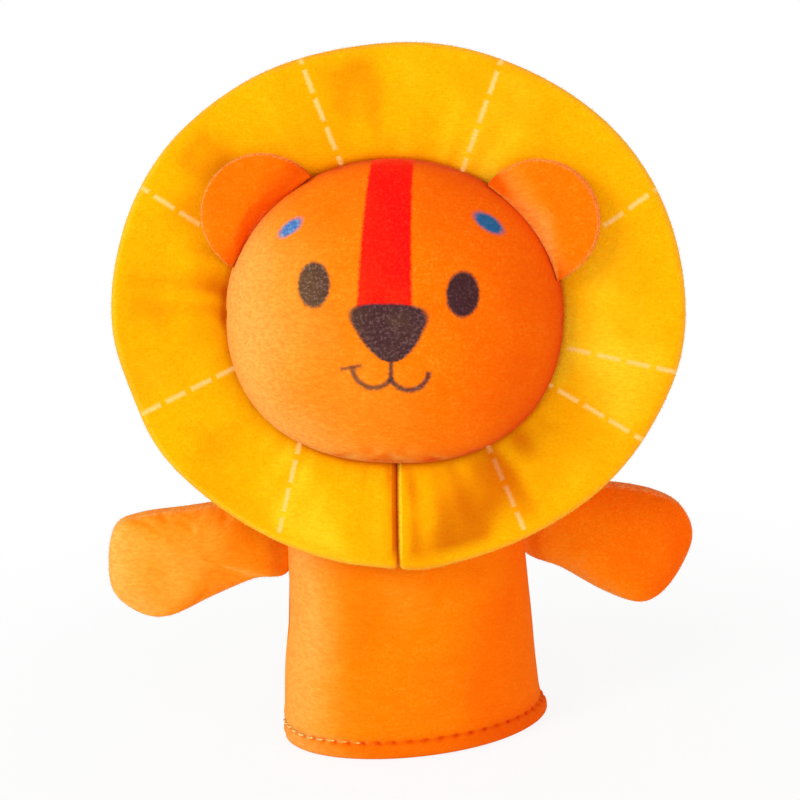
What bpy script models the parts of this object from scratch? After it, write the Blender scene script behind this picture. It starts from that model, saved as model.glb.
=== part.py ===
"""Lion finger puppet, sewn from short-pile cloth and lightly stuffed.

The puppet stands on its hem with its face towards -Y. The sleeve is two panels sewn at the sides, with
the mouth open below. The head is a stuffed pad that leans on the front of the sleeve, and the ruff of
the mane is caught in its seam. Ears and arms are small pads of two layers each.
Every length is in metres, +Z is up, and the finished puppet is centred over the origin.
"""

import math

import bmesh
import bpy
from mathutils import Vector

MM = 0.001
LEFT, RIGHT = -1, 1  # as seen from the front

# Cloth and seams
CLOTH = 1.0 * MM  # thickness of one layer of short-pile cloth
SEAM_GAP = 0.3 * MM  # left between two layers that touch
SEAM_ALLOWANCE = 2.0 * MM  # width of the ruff that is caught inside the head seam
EDGE_ROUND = 0.45 * MM  # rounding of a folded or turned edge
FILLING_REACH = 0.8  # how much of the way from a pad's middle to its seam the filling takes up
# A stuffed pad's height at a share s of the way out to its seam is (1 - s**fullness) ** steepness
PAD_FULLNESS = 2.3
PAD_STEEPNESS = 0.62

# Sleeve
SLEEVE_HEIGHT = 68.0 * MM
HEM_HALF_WIDTH = 20.0 * MM
HEM_HALF_DEPTH = 13.0 * MM
NECK_HEIGHT = 30.0 * MM
NECK_HALF_WIDTH = 18.0 * MM
TOP_HALF_WIDTH = 4.5 * MM
SLEEVE_TAPER = 1.25  # how late the depth closes to the flat top seam
SLEEVE_LEAN = math.radians(4.0)  # backwards, seen from the side
HEM_TURN = math.radians(14.0)  # twist of the mouth about the vertical
HEM_FOLD = 4.5 * MM  # height of the turned-up hem
STITCH_HEIGHT = 2.7 * MM
STITCH_GROOVE = 0.5 * MM
THREAD_RADIUS = 0.2 * MM

# Head
HEAD_HEIGHT = 66.4 * MM  # of the middle of the face, at the seam
HEAD_ACROSS = 0.7 * MM  # from the sleeve's middle
HEAD_TILT = math.radians(12.0)  # backwards, leaning on the sleeve
HEAD_ROLL = math.radians(-3.2)  # sideways, seen from the front
FACE_HALF_WIDTH = 24.2 * MM
FACE_HALF_HEIGHT = 21.8 * MM
FACE_CROWN = 12.0 * MM
BACK_CROWN = 5.0 * MM
BROW_SQUARENESS = 2.0  # superellipse power of the face outline above its middle
CHIN_SQUARENESS = 2.3  # and below it

# Mane
MANE_HALF_WIDTH = 41.5 * MM
MANE_HALF_HEIGHT = 37.8 * MM
MANE_RISE = 0.4 * MM  # of the ruff's middle above the face's middle
MANE_PUFF = 0.9 * MM
FOLD_GROWTH = 1.5  # power by which the folds below grow from the seam out to the edge
MANE_SLIT = 0.3 * MM  # where the two ends of the ruff are sewn together, under the chin
# Soft folds of the ruff: direction, height at the outer edge, half-width
MANE_FOLDS = (
    (math.radians(-50.0), -1.5 * MM, math.radians(10.0)),
    (math.radians(-66.0), 0.6 * MM, math.radians(8.0)),
    (math.radians(-30.0), 0.6 * MM, math.radians(12.0)),
    (math.radians(8.0), -0.6 * MM, math.radians(10.0)),
    (math.radians(70.0), 0.5 * MM, math.radians(16.0)),
    (math.radians(118.0), -0.5 * MM, math.radians(14.0)),
    (math.radians(186.0), 0.6 * MM, math.radians(12.0)),
    (math.radians(206.0), -0.9 * MM, math.radians(9.0)),
    (math.radians(226.0), 0.9 * MM, math.radians(10.0)),
)
# Printed dashes on the ruff
DASH_DIRECTIONS = [math.radians(a) for a in (-58, -27, -12, 23, 66, 111, 155, 201, 239)]
DASHES_PER_LINE = 4
DASH_LENGTH = 3.2 * MM
DASH_WIDTH = 0.8 * MM

# Ears
EAR_RADIUS = 8.7 * MM
EAR_ACROSS = 19.3 * MM  # from the middle of the face to the middle of the ear
EAR_UP = 13.0 * MM
EAR_CROWN = 1.6 * MM
EAR_LIFT = math.radians(7.0)  # how far the tip of the ear stands off the ruff
EAR_CREST = 2.6 * MM  # from the middle of the ear's circle out to its highest place

# Arms
LEFT_ARM_LENGTH = 26.8 * MM
RIGHT_ARM_LENGTH = 24.6 * MM
LEFT_ARM_ROOT_HEIGHT = 32.0 * MM
RIGHT_ARM_ROOT_HEIGHT = 30.2 * MM
ARM_ROOT_HALF_WIDTH = 5.0 * MM
LEFT_HAND_HALF_WIDTH = 7.1 * MM
RIGHT_HAND_HALF_WIDTH = 8.0 * MM
ARM_DROOP_AT_ROOT = math.radians(8.0)
ARM_DROOP_AT_HAND = math.radians(22.0)
HAND_START = 0.75  # share of the arm's length at which it is widest
HAND_ROUND = 5.5 * MM  # length over which the hand's blunt end closes
HAND_SQUARENESS = 2.4  # superellipse power of that end
ARM_CROWN = 3.6 * MM

# Printed face: places are (across, up) from the middle of the face, in its own plane
PRINT_THICKNESS = 0.3 * MM
EYE_PLACE = (10.6 * MM, 3.4 * MM)
EYE_HALF_WIDTH = 2.15 * MM
EYE_HALF_HEIGHT = 3.15 * MM
BROW_PLACE = (14.0 * MM, 11.9 * MM)
BROW_HALF_WIDTH = 2.1 * MM
BROW_HALF_HEIGHT = 1.1 * MM
BROW_SLOPE = math.radians(28.0)
NOSE_TOP = 0.9 * MM
NOSE_TIP = -6.6 * MM
NOSE_HALF_WIDTH = 5.7 * MM
NOSE_FLAT = 0.84  # how much of the width its flat top takes up
NOSE_CORNER = 0.12  # share of the height over which its upper corners round off
NOSE_FULLNESS, NOSE_TAPER = 1.7, 0.72  # the sides follow (1 - s**fullness) ** taper
STRIPE_TOP_HALF_WIDTH = 3.7 * MM
STRIPE_BOTTOM_HALF_WIDTH = 4.1 * MM
STRIPE_TOP_SHARE = 0.97  # of the way to the seam
STRIPE_LEAN = math.radians(3.0)  # sideways, about the middle of the face
MOUTH_UP = -7.6 * MM  # of the middle of the mouth
MOUTH_LOOP_RADIUS = 2.6 * MM
MOUTH_LINE = 0.75 * MM
MOUTH_LOOP_END = math.radians(10.0)  # how far below the loop's middle its outer end stops

# How finely round shapes are divided
FACE_STEPS = 40
ARM_STEPS = 26
EAR_STEPS = 20
MANE_STEPS = 50
SLEEVE_COLUMNS = 18
THREAD_STEPS = 48
PRINT_STEPS = 10
END_CHORD = 0.05  # width of an oval's first and last row, against its widest one

SEAM_STACK = SEAM_GAP / 2 + CLOTH  # half the thickness of two layers with their gap
ARM_LENGTHS = {LEFT: LEFT_ARM_LENGTH, RIGHT: RIGHT_ARM_LENGTH}
ARM_ROOT_HEIGHTS = {LEFT: LEFT_ARM_ROOT_HEIGHT, RIGHT: RIGHT_ARM_ROOT_HEIGHT}
HAND_HALF_WIDTHS = {LEFT: LEFT_HAND_HALF_WIDTH, RIGHT: RIGHT_HAND_HALF_WIDTH}


# Colour and objects


def material(name, red, green, blue, roughness=0.9):
    """A cloth or thread material; the colour is the one seen on a screen, 0 to 255."""
    made = bpy.data.materials.new(name)
    made.use_nodes = True
    shader = made.node_tree.nodes["Principled BSDF"]
    linear = [(c / 255) ** 2.2 for c in (red, green, blue)]
    shader.inputs["Base Color"].default_value = (*linear, 1)
    shader.inputs["Roughness"].default_value = roughness
    shader.inputs["Metallic"].default_value = 0.0
    shader.inputs["Sheen Weight"].default_value = 0.4
    made.diffuse_color = (*linear, 1)
    return made


def add_object(name, data, materials, parent):
    obj = bpy.data.objects.new(name, data)
    for each in materials:
        data.materials.append(each)
    bpy.context.scene.collection.objects.link(obj)
    obj.parent = parent
    return obj


def frame(name, parent, location=(0, 0, 0), rotation=(0, 0, 0)):
    """An empty that carries the pieces modelled in its own axes."""
    empty = bpy.data.objects.new(name, None)
    bpy.context.scene.collection.objects.link(empty)
    empty.parent = parent
    empty.location = location
    empty.rotation_euler = rotation
    return empty


def bridged(name, loops, materials, parent, is_print=None):
    """A closed solid: equal loops of points, each joined to the next, with the first and last filled.

    is_print, if given, says which face centres take the second material.
    """
    bm = bmesh.new()
    rings = [[bm.verts.new(point) for point in loop] for loop in loops]
    for ring, following in zip(rings, rings[1:]):
        for i in range(len(ring)):
            j = (i + 1) % len(ring)
            bm.faces.new((ring[i], ring[j], following[j], following[i]))
    bm.faces.new(rings[0])
    bm.faces.new(rings[-1])
    bmesh.ops.recalc_face_normals(bm, faces=bm.faces)
    if is_print:
        for face in bm.faces:
            face.material_index = int(is_print(face.calc_center_median()))
    mesh = bpy.data.meshes.new(name)
    bm.to_mesh(mesh)
    bm.free()
    mesh.shade_smooth()
    mesh.set_sharp_from_angle(angle=math.radians(50))
    return add_object(name, mesh, materials, parent)


def mix(start, end, share):
    return start + (end - start) * share


def turned(point, angle):
    """A flat (across, up) point turned about the middle."""
    x, y = point
    return x * math.cos(angle) - y * math.sin(angle), x * math.sin(angle) + y * math.cos(angle)


# Pads: an outline of (across, up) points about a middle, crowned to the front or to the back


def directions(steps):
    return [math.tau * i / steps for i in range(steps)]


def swell(share):
    """Height of a stuffed pad, from 1 at the middle (share 0) to 0 at the seam (share 1)."""
    return max(0.0, 1.0 - share**PAD_FULLNESS) ** PAD_STEEPNESS


def pad_loop(outline, middle, share, height):
    return [(mix(middle[0], x, share), mix(middle[1], y, share), height) for x, y in outline]


def inner_share(outline, middle):
    """Share of the way from the middle to the outline at which the cloth's inside meets the seam."""
    return 1 - CLOTH / min(math.dist(point, middle) for point in outline)


def inside_rings(outline, middle, seam, crown):
    """(share, height) of rings up the inside of a pad's cloth, from the seam to the middle."""
    rim = inner_share(outline, middle)
    return [(rim * share, seam + (crown - CLOTH) * swell(share)) for share in (0.97, FILLING_REACH, 0.5, 0.12)]


def pad_layer(name, outline, seam, crown, side, materials, parent, middle=(0, 0)):
    """One cloth layer of a pad. seam is how far its seam edge lies from the pad's mid plane."""
    edge = EDGE_ROUND / min(math.dist(point, middle) for point in outline)
    rings = [(share, seam + CLOTH + (crown - CLOTH) * swell(share)) for share in (0.12, 0.34, 0.56, 0.74, 0.88)]
    rings += [(1 - edge, seam + CLOTH), (1.0, seam + CLOTH - EDGE_ROUND), (1.0, seam)]
    rings += [(inner_share(outline, middle), seam)] + inside_rings(outline, middle, seam, crown)
    loops = [pad_loop(outline, middle, share, side * height) for share, height in rings]
    return bridged(name, loops, materials, parent)


def pad_filling(name, outline, seam, front_crown, back_crown, materials, parent, middle=(0, 0)):
    """The loose fibre inside a pad, one gap below its cloth and short of its seam."""
    front = inside_rings(outline, middle, seam, front_crown)[1:]
    back = inside_rings(outline, middle, seam, back_crown)[1:]
    rings = [(share, height - SEAM_GAP) for share, height in front[::-1]]
    rings += [(share, SEAM_GAP - height) for share, height in back]
    loops = [pad_loop(outline, middle, share, height) for share, height in rings]
    return bridged(name, loops, materials, parent)


# Sleeve


def sleeve_half_width(height):
    if height <= NECK_HEIGHT:
        return mix(HEM_HALF_WIDTH, NECK_HALF_WIDTH, height / NECK_HEIGHT)
    share = (height - NECK_HEIGHT) / (SLEEVE_HEIGHT - NECK_HEIGHT)
    return mix(TOP_HALF_WIDTH, NECK_HALF_WIDTH, math.sqrt(1 - share**2))


def sleeve_half_depth(height):
    return mix(HEM_HALF_DEPTH, SEAM_STACK, (height / SLEEVE_HEIGHT) ** SLEEVE_TAPER)


def sleeve_point(direction, height, inset):
    """A point of the front panel: direction 0 is its +X side seam, and pi its -X side seam."""
    across = (sleeve_half_width(height) - inset) * math.cos(direction)
    depth = SEAM_GAP / 2 + (sleeve_half_depth(height) - inset - SEAM_GAP / 2) * math.sin(direction)
    return across, -depth, height


def sleeve_turn(height):
    return HEM_TURN * (1 - height / SLEEVE_HEIGHT)


def on_sleeve(point):
    """A point of the untwisted, upright sleeve moved to its twisted and leaning place."""
    across, back, height = point
    across, back = turned((across, back), sleeve_turn(height))
    return across, back + height * math.tan(SLEEVE_LEAN), height


def sleeve_section():
    """(height, inset) round one panel's cloth: down the outside, round the hem and up the inside."""
    arch = [math.sin(math.pi / 2 * k / 5) for k in range(5, 0, -1)]
    above_neck = [mix(NECK_HEIGHT, SLEEVE_HEIGHT, share) for share in arch]
    below_neck = [NECK_HEIGHT, mix(NECK_HEIGHT, HEM_FOLD, 0.35), mix(NECK_HEIGHT, HEM_FOLD, 0.7)]
    down = above_neck + below_neck
    groove = [
        (STITCH_HEIGHT + STITCH_GROOVE, 0),
        (STITCH_HEIGHT, STITCH_GROOVE),
        (STITCH_HEIGHT - STITCH_GROOVE, 0),
    ]
    fold = [
        (EDGE_ROUND, 0),
        (0, EDGE_ROUND),
        (0, 2 * CLOTH - EDGE_ROUND),
        (EDGE_ROUND, 2 * CLOTH),
        (HEM_FOLD, 2 * CLOTH),
        (HEM_FOLD, CLOTH),
    ]
    return [(z, 0) for z in down] + groove + fold + [(z, CLOTH) for z in reversed(down)]


def sleeve_panel(name, front, materials, parent):
    loops = []
    for column in range(SLEEVE_COLUMNS + 1):
        direction = math.pi * column / SLEEVE_COLUMNS
        loop = []
        for height, inset in sleeve_section():
            across, back, height = sleeve_point(direction, height, inset)
            loop.append(on_sleeve((across, back if front else -back, height)))
        loops.append(loop)
    return bridged(name, loops, materials, parent)


def hem_thread(name, materials, parent):
    """The hem's stitching, as one thread laid in its groove all round."""
    curve = bpy.data.curves.new(name, "CURVE")
    curve.dimensions = "3D"
    spline = curve.splines.new("POLY")
    spline.points.add(THREAD_STEPS - 1)
    for point, direction in zip(spline.points, directions(THREAD_STEPS)):
        across = sleeve_half_width(STITCH_HEIGHT) * math.cos(direction)
        back = sleeve_half_depth(STITCH_HEIGHT) * math.sin(direction)
        point.co = (*on_sleeve((across, back, STITCH_HEIGHT)), 1)
    spline.use_cyclic_u = True
    curve.bevel_depth = THREAD_RADIUS
    curve.bevel_resolution = 1
    return add_object(name, curve, materials, parent)


# Head: its own axes are across, up the face, and out of the face


def face_radius(direction, grow=0.0):
    """Distance from the middle of the face to its seam: an ellipse above, a little squarer below."""
    across, up = math.cos(direction), math.sin(direction)
    power = BROW_SQUARENESS if up > 0 else CHIN_SQUARENESS
    total = abs(across / FACE_HALF_WIDTH) ** power + abs(up / FACE_HALF_HEIGHT) ** power
    return total ** (-1 / power) + grow


def face_outline():
    return [(face_radius(a) * math.cos(a), face_radius(a) * math.sin(a)) for a in directions(FACE_STEPS)]


def face_surface(x, y):
    """The point of the face panel's outside above (across, up)."""
    share = math.hypot(x, y) / face_radius(math.atan2(y, x))
    return Vector((x, y, face_seam() + CLOTH + (FACE_CROWN - CLOTH) * swell(share)))


def face_seam():
    """Height of the face panel's seam edge over the head's mid plane: on top of the ruff's two layers."""
    return SEAM_STACK + SEAM_GAP


def head_location():
    """Far enough forward for the back of the head to rest on the sleeve's front panel."""
    steps = 60
    forward = 0.0
    for i in range(steps):
        up = -FACE_HALF_HEIGHT * i / steps
        reach = face_seam() + CLOTH + (BACK_CROWN - CLOTH) * swell(-up / FACE_HALF_HEIGHT)
        height = HEAD_HEIGHT + up * math.cos(HEAD_TILT) - reach * math.sin(HEAD_TILT)
        if 0 < height <= SLEEVE_HEIGHT:
            sleeve_front = on_sleeve((0, -sleeve_half_depth(height), height))[1]
            back_of_head = up * math.sin(HEAD_TILT) + reach * math.cos(HEAD_TILT)
            forward = min(forward, sleeve_front - SEAM_GAP - back_of_head)
    return HEAD_ACROSS, forward, HEAD_HEIGHT


# Mane


def mane_outer_radius(direction):
    """Distance from the middle of the face to the ruff's outer ellipse, whose own middle is higher."""
    across, up = math.cos(direction), math.sin(direction)
    a = (across / MANE_HALF_WIDTH) ** 2 + (up / MANE_HALF_HEIGHT) ** 2
    b = -up * MANE_RISE / MANE_HALF_HEIGHT**2
    c = (MANE_RISE / MANE_HALF_HEIGHT) ** 2 - 1
    return (-b + math.sqrt(b * b - a * c)) / a


def mane_radius(direction, share):
    """Distance from the middle at a share of the way from the head seam to the outer edge.

    Any negative share is the edge that is caught inside the head seam.
    """
    if share < 0:
        return face_radius(direction, -SEAM_ALLOWANCE)
    return mix(face_radius(direction), mane_outer_radius(direction), share)


def mane_share(direction, radius):
    seam = face_radius(direction)
    return (radius - seam) / (mane_outer_radius(direction) - seam)


def mane_fold(direction, share):
    """How far the ruff's mid surface is pushed forward by its soft folds."""
    lift = 0.0
    for at, height, width in MANE_FOLDS:
        away = math.remainder(direction - at, math.tau)
        lift += height * math.exp(-((away / width) ** 2))
    return lift * max(0.0, share) ** FOLD_GROWTH


def mane_puff(share):
    """Swelling of one layer between the head seam and the outer edge."""
    return MANE_PUFF * math.sin(math.pi * min(1.0, max(0.0, share))) ** 0.7


def mane_surface(direction, share, side=1):
    """The point of a layer's outside at a share of the way from the head seam out to the edge."""
    radius = mane_radius(direction, share)
    height = mane_fold(direction, share) + side * (SEAM_STACK + mane_puff(share))
    return Vector((radius * math.cos(direction), radius * math.sin(direction), height))


def dash_stations():
    """Shares of the ruff's width at which the printed dashes begin and end."""
    width = MANE_HALF_WIDTH - FACE_HALF_WIDTH
    first = DASH_LENGTH / 4 / width
    pitch = (1 - first) / DASHES_PER_LINE
    return [(first + pitch * i, first + pitch * i + DASH_LENGTH / width) for i in range(DASHES_PER_LINE)]


def mane_directions(with_dashes):
    """Directions round the ruff, from one side of the slit under the chin to the other."""
    half_slit = MANE_SLIT / 2 / mane_outer_radius(-math.pi / 2)
    start, end = -math.pi / 2 + half_slit, 1.5 * math.pi - half_slit
    found = [mix(start, end, i / MANE_STEPS) for i in range(MANE_STEPS + 1)]
    if with_dashes:
        half_dash = DASH_WIDTH / 2 / MANE_HALF_HEIGHT
        sides = [at + turn for at in DASH_DIRECTIONS for turn in (-half_dash, half_dash)]
        found = [a for a in found if all(abs(a - side) > half_dash for side in sides)] + sides
    return sorted(found)


def is_dash(point):
    """Whether a point of the ruff's front lies on one of its printed dashes."""
    direction = math.atan2(point.y, point.x)
    share = mane_share(direction, math.hypot(point.x, point.y))
    half_dash = DASH_WIDTH / 2 / MANE_HALF_HEIGHT
    on_line = any(abs(math.remainder(direction - at, math.tau)) < half_dash for at in DASH_DIRECTIONS)
    on_front = point.z > mane_fold(direction, share) + SEAM_STACK - EDGE_ROUND
    return on_front and on_line and any(start < share < end for start, end in dash_stations())


def mane_layer(name, side, materials, parent):
    """The front (side 1) or back (side -1) layer of the ruff, a ring with its two ends under the chin."""
    if side > 0:
        stations = [-1.0, 0.0] + [share for pair in dash_stations() for share in pair][:-1]
    else:
        stations = [-1.0, 0.0, 0.2, 0.5, 0.8]
    down = Vector((0, 0, -side))
    loops = []
    for direction in mane_directions(with_dashes=side > 0):
        out = Vector((math.cos(direction), math.sin(direction), 0))
        edge = mane_surface(direction, 1.0, side)
        loop = [mane_surface(direction, share, side) for share in stations]
        loop += [edge - out * EDGE_ROUND, edge + down * EDGE_ROUND, edge + down * CLOTH]
        turned_in = mane_share(direction, mane_outer_radius(direction) - CLOTH)
        for share in (turned_in, 0.8, 0.5, 0.2, 0.0, -1.0):
            loop.append(mane_surface(direction, share, side) + down * CLOTH)
        loops.append(loop)
    return bridged(name, loops, materials, parent, is_dash if side > 0 else None)


# Ears


def ear_middle(side):
    """Middle of the pad, which is moved out so that the face cuts less of it away."""
    across, up = side * EAR_ACROSS, EAR_UP
    shift = 1 + EAR_CREST / math.hypot(across, up)
    return across * shift, up * shift


def ear_outline(side):
    """The ear's circle, cut off where it meets the side of the head."""
    middle = ear_middle(side)
    outline = []
    for direction in directions(EAR_STEPS):
        low, high = 0.0, 2 * EAR_RADIUS
        for _ in range(30):
            reach = (low + high) / 2
            x = middle[0] + reach * math.cos(direction)
            y = middle[1] + reach * math.sin(direction)
            in_circle = math.dist((x, y), (side * EAR_ACROSS, EAR_UP)) < EAR_RADIUS
            off_head = math.hypot(x, y) > face_radius(math.atan2(y, x), SEAM_GAP)
            low, high = (reach, high) if in_circle and off_head else (low, reach)
        outline.append((x, y))
    return outline


def ear_rest_height(side):
    """Height at which the ear's back clears the ruff below it."""
    highest = 0.0
    for x, y in ear_outline(side) + [ear_middle(side)]:
        direction = math.atan2(y, x)
        share = mane_share(direction, math.hypot(x, y))
        highest = max(highest, mane_surface(direction, share).z)
    return highest + SEAM_GAP + EAR_CROWN + SEAM_GAP / 2


def ear(side, name, materials, head):
    """An ear's two layers, hinged up a little about the line where it leaves the head."""
    outward = Vector((side * EAR_ACROSS, EAR_UP, 0)).normalized()
    root_distance = face_radius(math.atan2(EAR_UP, side * EAR_ACROSS))
    root = outward * root_distance + Vector((0, 0, ear_rest_height(side)))
    carrier = frame(name + "_frame", head, location=root)
    carrier.rotation_mode = "AXIS_ANGLE"
    hinge = outward.cross(Vector((0, 0, 1)))
    carrier.rotation_axis_angle = (EAR_LIFT, *hinge)
    outline = [(x - root.x, y - root.y) for x, y in ear_outline(side)]
    middle = (ear_middle(side)[0] - root.x, ear_middle(side)[1] - root.y)
    for layer, facing in (("front", 1), ("back", -1)):
        pad_layer(f"{name}_{layer}", outline, SEAM_GAP / 2, EAR_CROWN, facing, materials, carrier, middle)


# Arms


def arm_outline(side):
    """A paddle that droops and widens towards its blunt, rounded hand, about (0, 0) at the side seam."""
    steps = 24
    length = ARM_LENGTHS[side]
    step = length / steps
    x, y = 0.0, 0.0
    upper, lower = [], []
    for i in range(steps + 1):
        share = i / steps
        droop = mix(ARM_DROOP_AT_ROOT, ARM_DROOP_AT_HAND, share)
        widening = mix(ARM_ROOT_HALF_WIDTH, HAND_HALF_WIDTHS[side], min(1.0, share / HAND_START))
        into_hand = max(0.0, 1 - length * (1 - share) / HAND_ROUND)
        half = widening * (1 - into_hand**HAND_SQUARENESS) ** (1 / HAND_SQUARENESS)
        upper.append((x + half * math.sin(droop), y + half * math.cos(droop)))
        lower.append((x - half * math.sin(droop), y - half * math.cos(droop)))
        x += step * math.cos(droop)
        y -= step * math.sin(droop)
    return [(side * x, y) for x, y in resampled(lower[::-1][1:] + upper, ARM_STEPS)]


def resampled(points, count):
    """The closed outline again, with count points evenly spaced along it."""
    closed = points + points[:1]
    along = [0.0]
    for a, b in zip(closed, closed[1:]):
        along.append(along[-1] + math.dist(a, b))
    found, k = [], 0
    for i in range(count):
        target = along[-1] * i / count
        while along[k + 1] < target:
            k += 1
        share = (target - along[k]) / (along[k + 1] - along[k])
        found.append(tuple(mix(p, q, share) for p, q in zip(closed[k], closed[k + 1])))
    return found


def arm(side, name, materials, fibre, puppet):
    """An arm's two layers and its filling, sewn to the sleeve's side seam."""
    outline = arm_outline(side)
    root_height = ARM_ROOT_HEIGHTS[side]
    sunk = max(0.0, -min(side * x for x, _ in outline))
    stand_off = sleeve_half_width(root_height - ARM_ROOT_HALF_WIDTH) + SEAM_GAP + sunk
    root = on_sleeve((side * stand_off, 0, root_height))
    rotation = (math.pi / 2 - SLEEVE_LEAN, 0, sleeve_turn(root_height))
    carrier = frame(name + "_frame", puppet, location=root, rotation=rotation)
    middle = tuple(sum(point[i] for point in outline) / len(outline) for i in (0, 1))
    for layer, facing in (("front", 1), ("back", -1)):
        pad_layer(f"{name}_{layer}", outline, SEAM_GAP / 2, ARM_CROWN, facing, materials, carrier, middle)
    pad_filling(f"{name}_filling", outline, SEAM_GAP / 2, ARM_CROWN, ARM_CROWN, fibre, carrier, middle)


# Printed face


def printed(name, rows, materials, head):
    """A thin field of colour lying on the face: rows of (across, up) points, joined to each other."""
    bm = bmesh.new()
    grid = [[bm.verts.new(off_face(x, y)) for x, y in row] for row in rows]
    for row, following in zip(grid, grid[1:]):
        for i in range(len(row) - 1):
            bm.faces.new((row[i], row[i + 1], following[i + 1], following[i]))
    bmesh.ops.recalc_face_normals(bm, faces=bm.faces)
    if sum(face.normal.z for face in bm.faces) < 0:
        bmesh.ops.reverse_faces(bm, faces=bm.faces)
    mesh = bpy.data.meshes.new(name)
    bm.to_mesh(mesh)
    bm.free()
    obj = add_object(name, mesh, materials, head)
    solidify = obj.modifiers.new("Thickness", "SOLIDIFY")
    solidify.thickness = PRINT_THICKNESS
    solidify.offset = 1
    return obj


def off_face(x, y):
    """The point of the face above (across, up), one seam gap out from the cloth."""
    here = face_surface(x, y)
    step = 0.1 * MM
    across = face_surface(x + step, y) - face_surface(x - step, y)
    up = face_surface(x, y + step) - face_surface(x, y - step)
    return here + across.cross(up).normalized() * SEAM_GAP


def oval_rows(middle, half_width, half_height, slope=0.0):
    """Rows across an oval, for a printed eye or brow."""
    rows = []
    for i in range(PRINT_STEPS + 1):
        angle = math.pi * i / PRINT_STEPS
        chord = max(END_CHORD, math.sin(angle)) * half_width
        row = []
        for share in (-1.0, -0.5, 0.0, 0.5, 1.0):
            x, y = turned((chord * share, half_height * math.cos(angle)), slope)
            row.append((middle[0] + x, middle[1] + y))
        rows.append(row)
    return rows


def nose_rows():
    """A rounded triangle, its flat side up, with the short line that runs down to the mouth."""
    rows = []
    for i in range(PRINT_STEPS + 1):
        share = (i / PRINT_STEPS) ** 1.4
        y = mix(NOSE_TOP, NOSE_TIP, share)
        corner = math.sqrt(1 - max(0.0, 1 - share / NOSE_CORNER) ** 2)
        half = NOSE_HALF_WIDTH * mix(NOSE_FLAT, 1.0, corner) * (1 - share**NOSE_FULLNESS) ** NOSE_TAPER
        rows.append([(max(half, MOUTH_LINE / 2) * s, y) for s in (-1.0, -0.5, 0.0, 0.5, 1.0)])
    line_end = MOUTH_UP + MOUTH_LINE / 2 + SEAM_GAP
    rows.append([(MOUTH_LINE / 2 * s, line_end) for s in (-1.0, -0.5, 0.0, 0.5, 1.0)])
    return rows


def stripe_rows():
    """The band from the top of the face down to the nose."""
    top = face_radius(math.pi / 2) * STRIPE_TOP_SHARE
    bottom = NOSE_TOP + SEAM_GAP
    rows = []
    for i in range(PRINT_STEPS + 1):
        share = i / PRINT_STEPS
        half = mix(STRIPE_TOP_HALF_WIDTH, STRIPE_BOTTOM_HALF_WIDTH, share)
        y = mix(top, bottom, share)
        lean = -y * math.tan(STRIPE_LEAN)
        rows.append([(lean + half * s, y) for s in (-1.0, -0.5, 0.0, 0.5, 1.0)])
    return rows


def mouth_rows():
    """One line along two hanging loops, which meet in the middle and turn up at its ends."""
    outer, inner = MOUTH_LOOP_RADIUS + MOUTH_LINE / 2, MOUTH_LOOP_RADIUS - MOUTH_LINE / 2
    meeting = math.acos(-MOUTH_LOOP_RADIUS / outer)
    rows = []
    for i in range(-PRINT_STEPS, PRINT_STEPS + 1):
        side = math.copysign(1.0, i)
        share = abs(i) / PRINT_STEPS
        row = []
        for radius, start in ((outer, meeting), (inner, math.pi)):
            turn = mix(start, MOUTH_LOOP_END, share)
            across = side * (MOUTH_LOOP_RADIUS + radius * math.cos(turn)) if i else 0.0
            row.append((across, MOUTH_UP - radius * math.sin(turn)))
        rows.append(row)
    return rows


def face_print(dark, red, blue, head):
    for side, word in ((LEFT, "left"), (RIGHT, "right")):
        eye = (side * EYE_PLACE[0], EYE_PLACE[1])
        printed(f"eye_print_{word}", oval_rows(eye, EYE_HALF_WIDTH, EYE_HALF_HEIGHT), [dark], head)
        brow = (side * BROW_PLACE[0], BROW_PLACE[1])
        rows = oval_rows(brow, BROW_HALF_WIDTH, BROW_HALF_HEIGHT, -side * BROW_SLOPE)
        printed(f"brow_print_{word}", rows, [blue], head)
    printed("nose_print", nose_rows(), [dark], head)
    printed("stripe_print", stripe_rows(), [red], head)
    printed("mouth_print", mouth_rows(), [dark], head)


# The whole puppet


def centre_over_origin(puppet):
    """Moves the puppet so that the middle of its box stands over the origin, with the hem at height 0."""
    bpy.context.view_layer.update()
    depsgraph = bpy.context.evaluated_depsgraph_get()
    places = []
    for obj in bpy.context.scene.objects:
        if obj.type != "EMPTY":
            evaluated = obj.evaluated_get(depsgraph)
            places += [obj.matrix_world @ vertex.co for vertex in evaluated.to_mesh().vertices]
            evaluated.to_mesh_clear()
    for axis in (0, 1):
        side = [place[axis] for place in places]
        puppet.location[axis] -= (min(side) + max(side)) / 2


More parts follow.
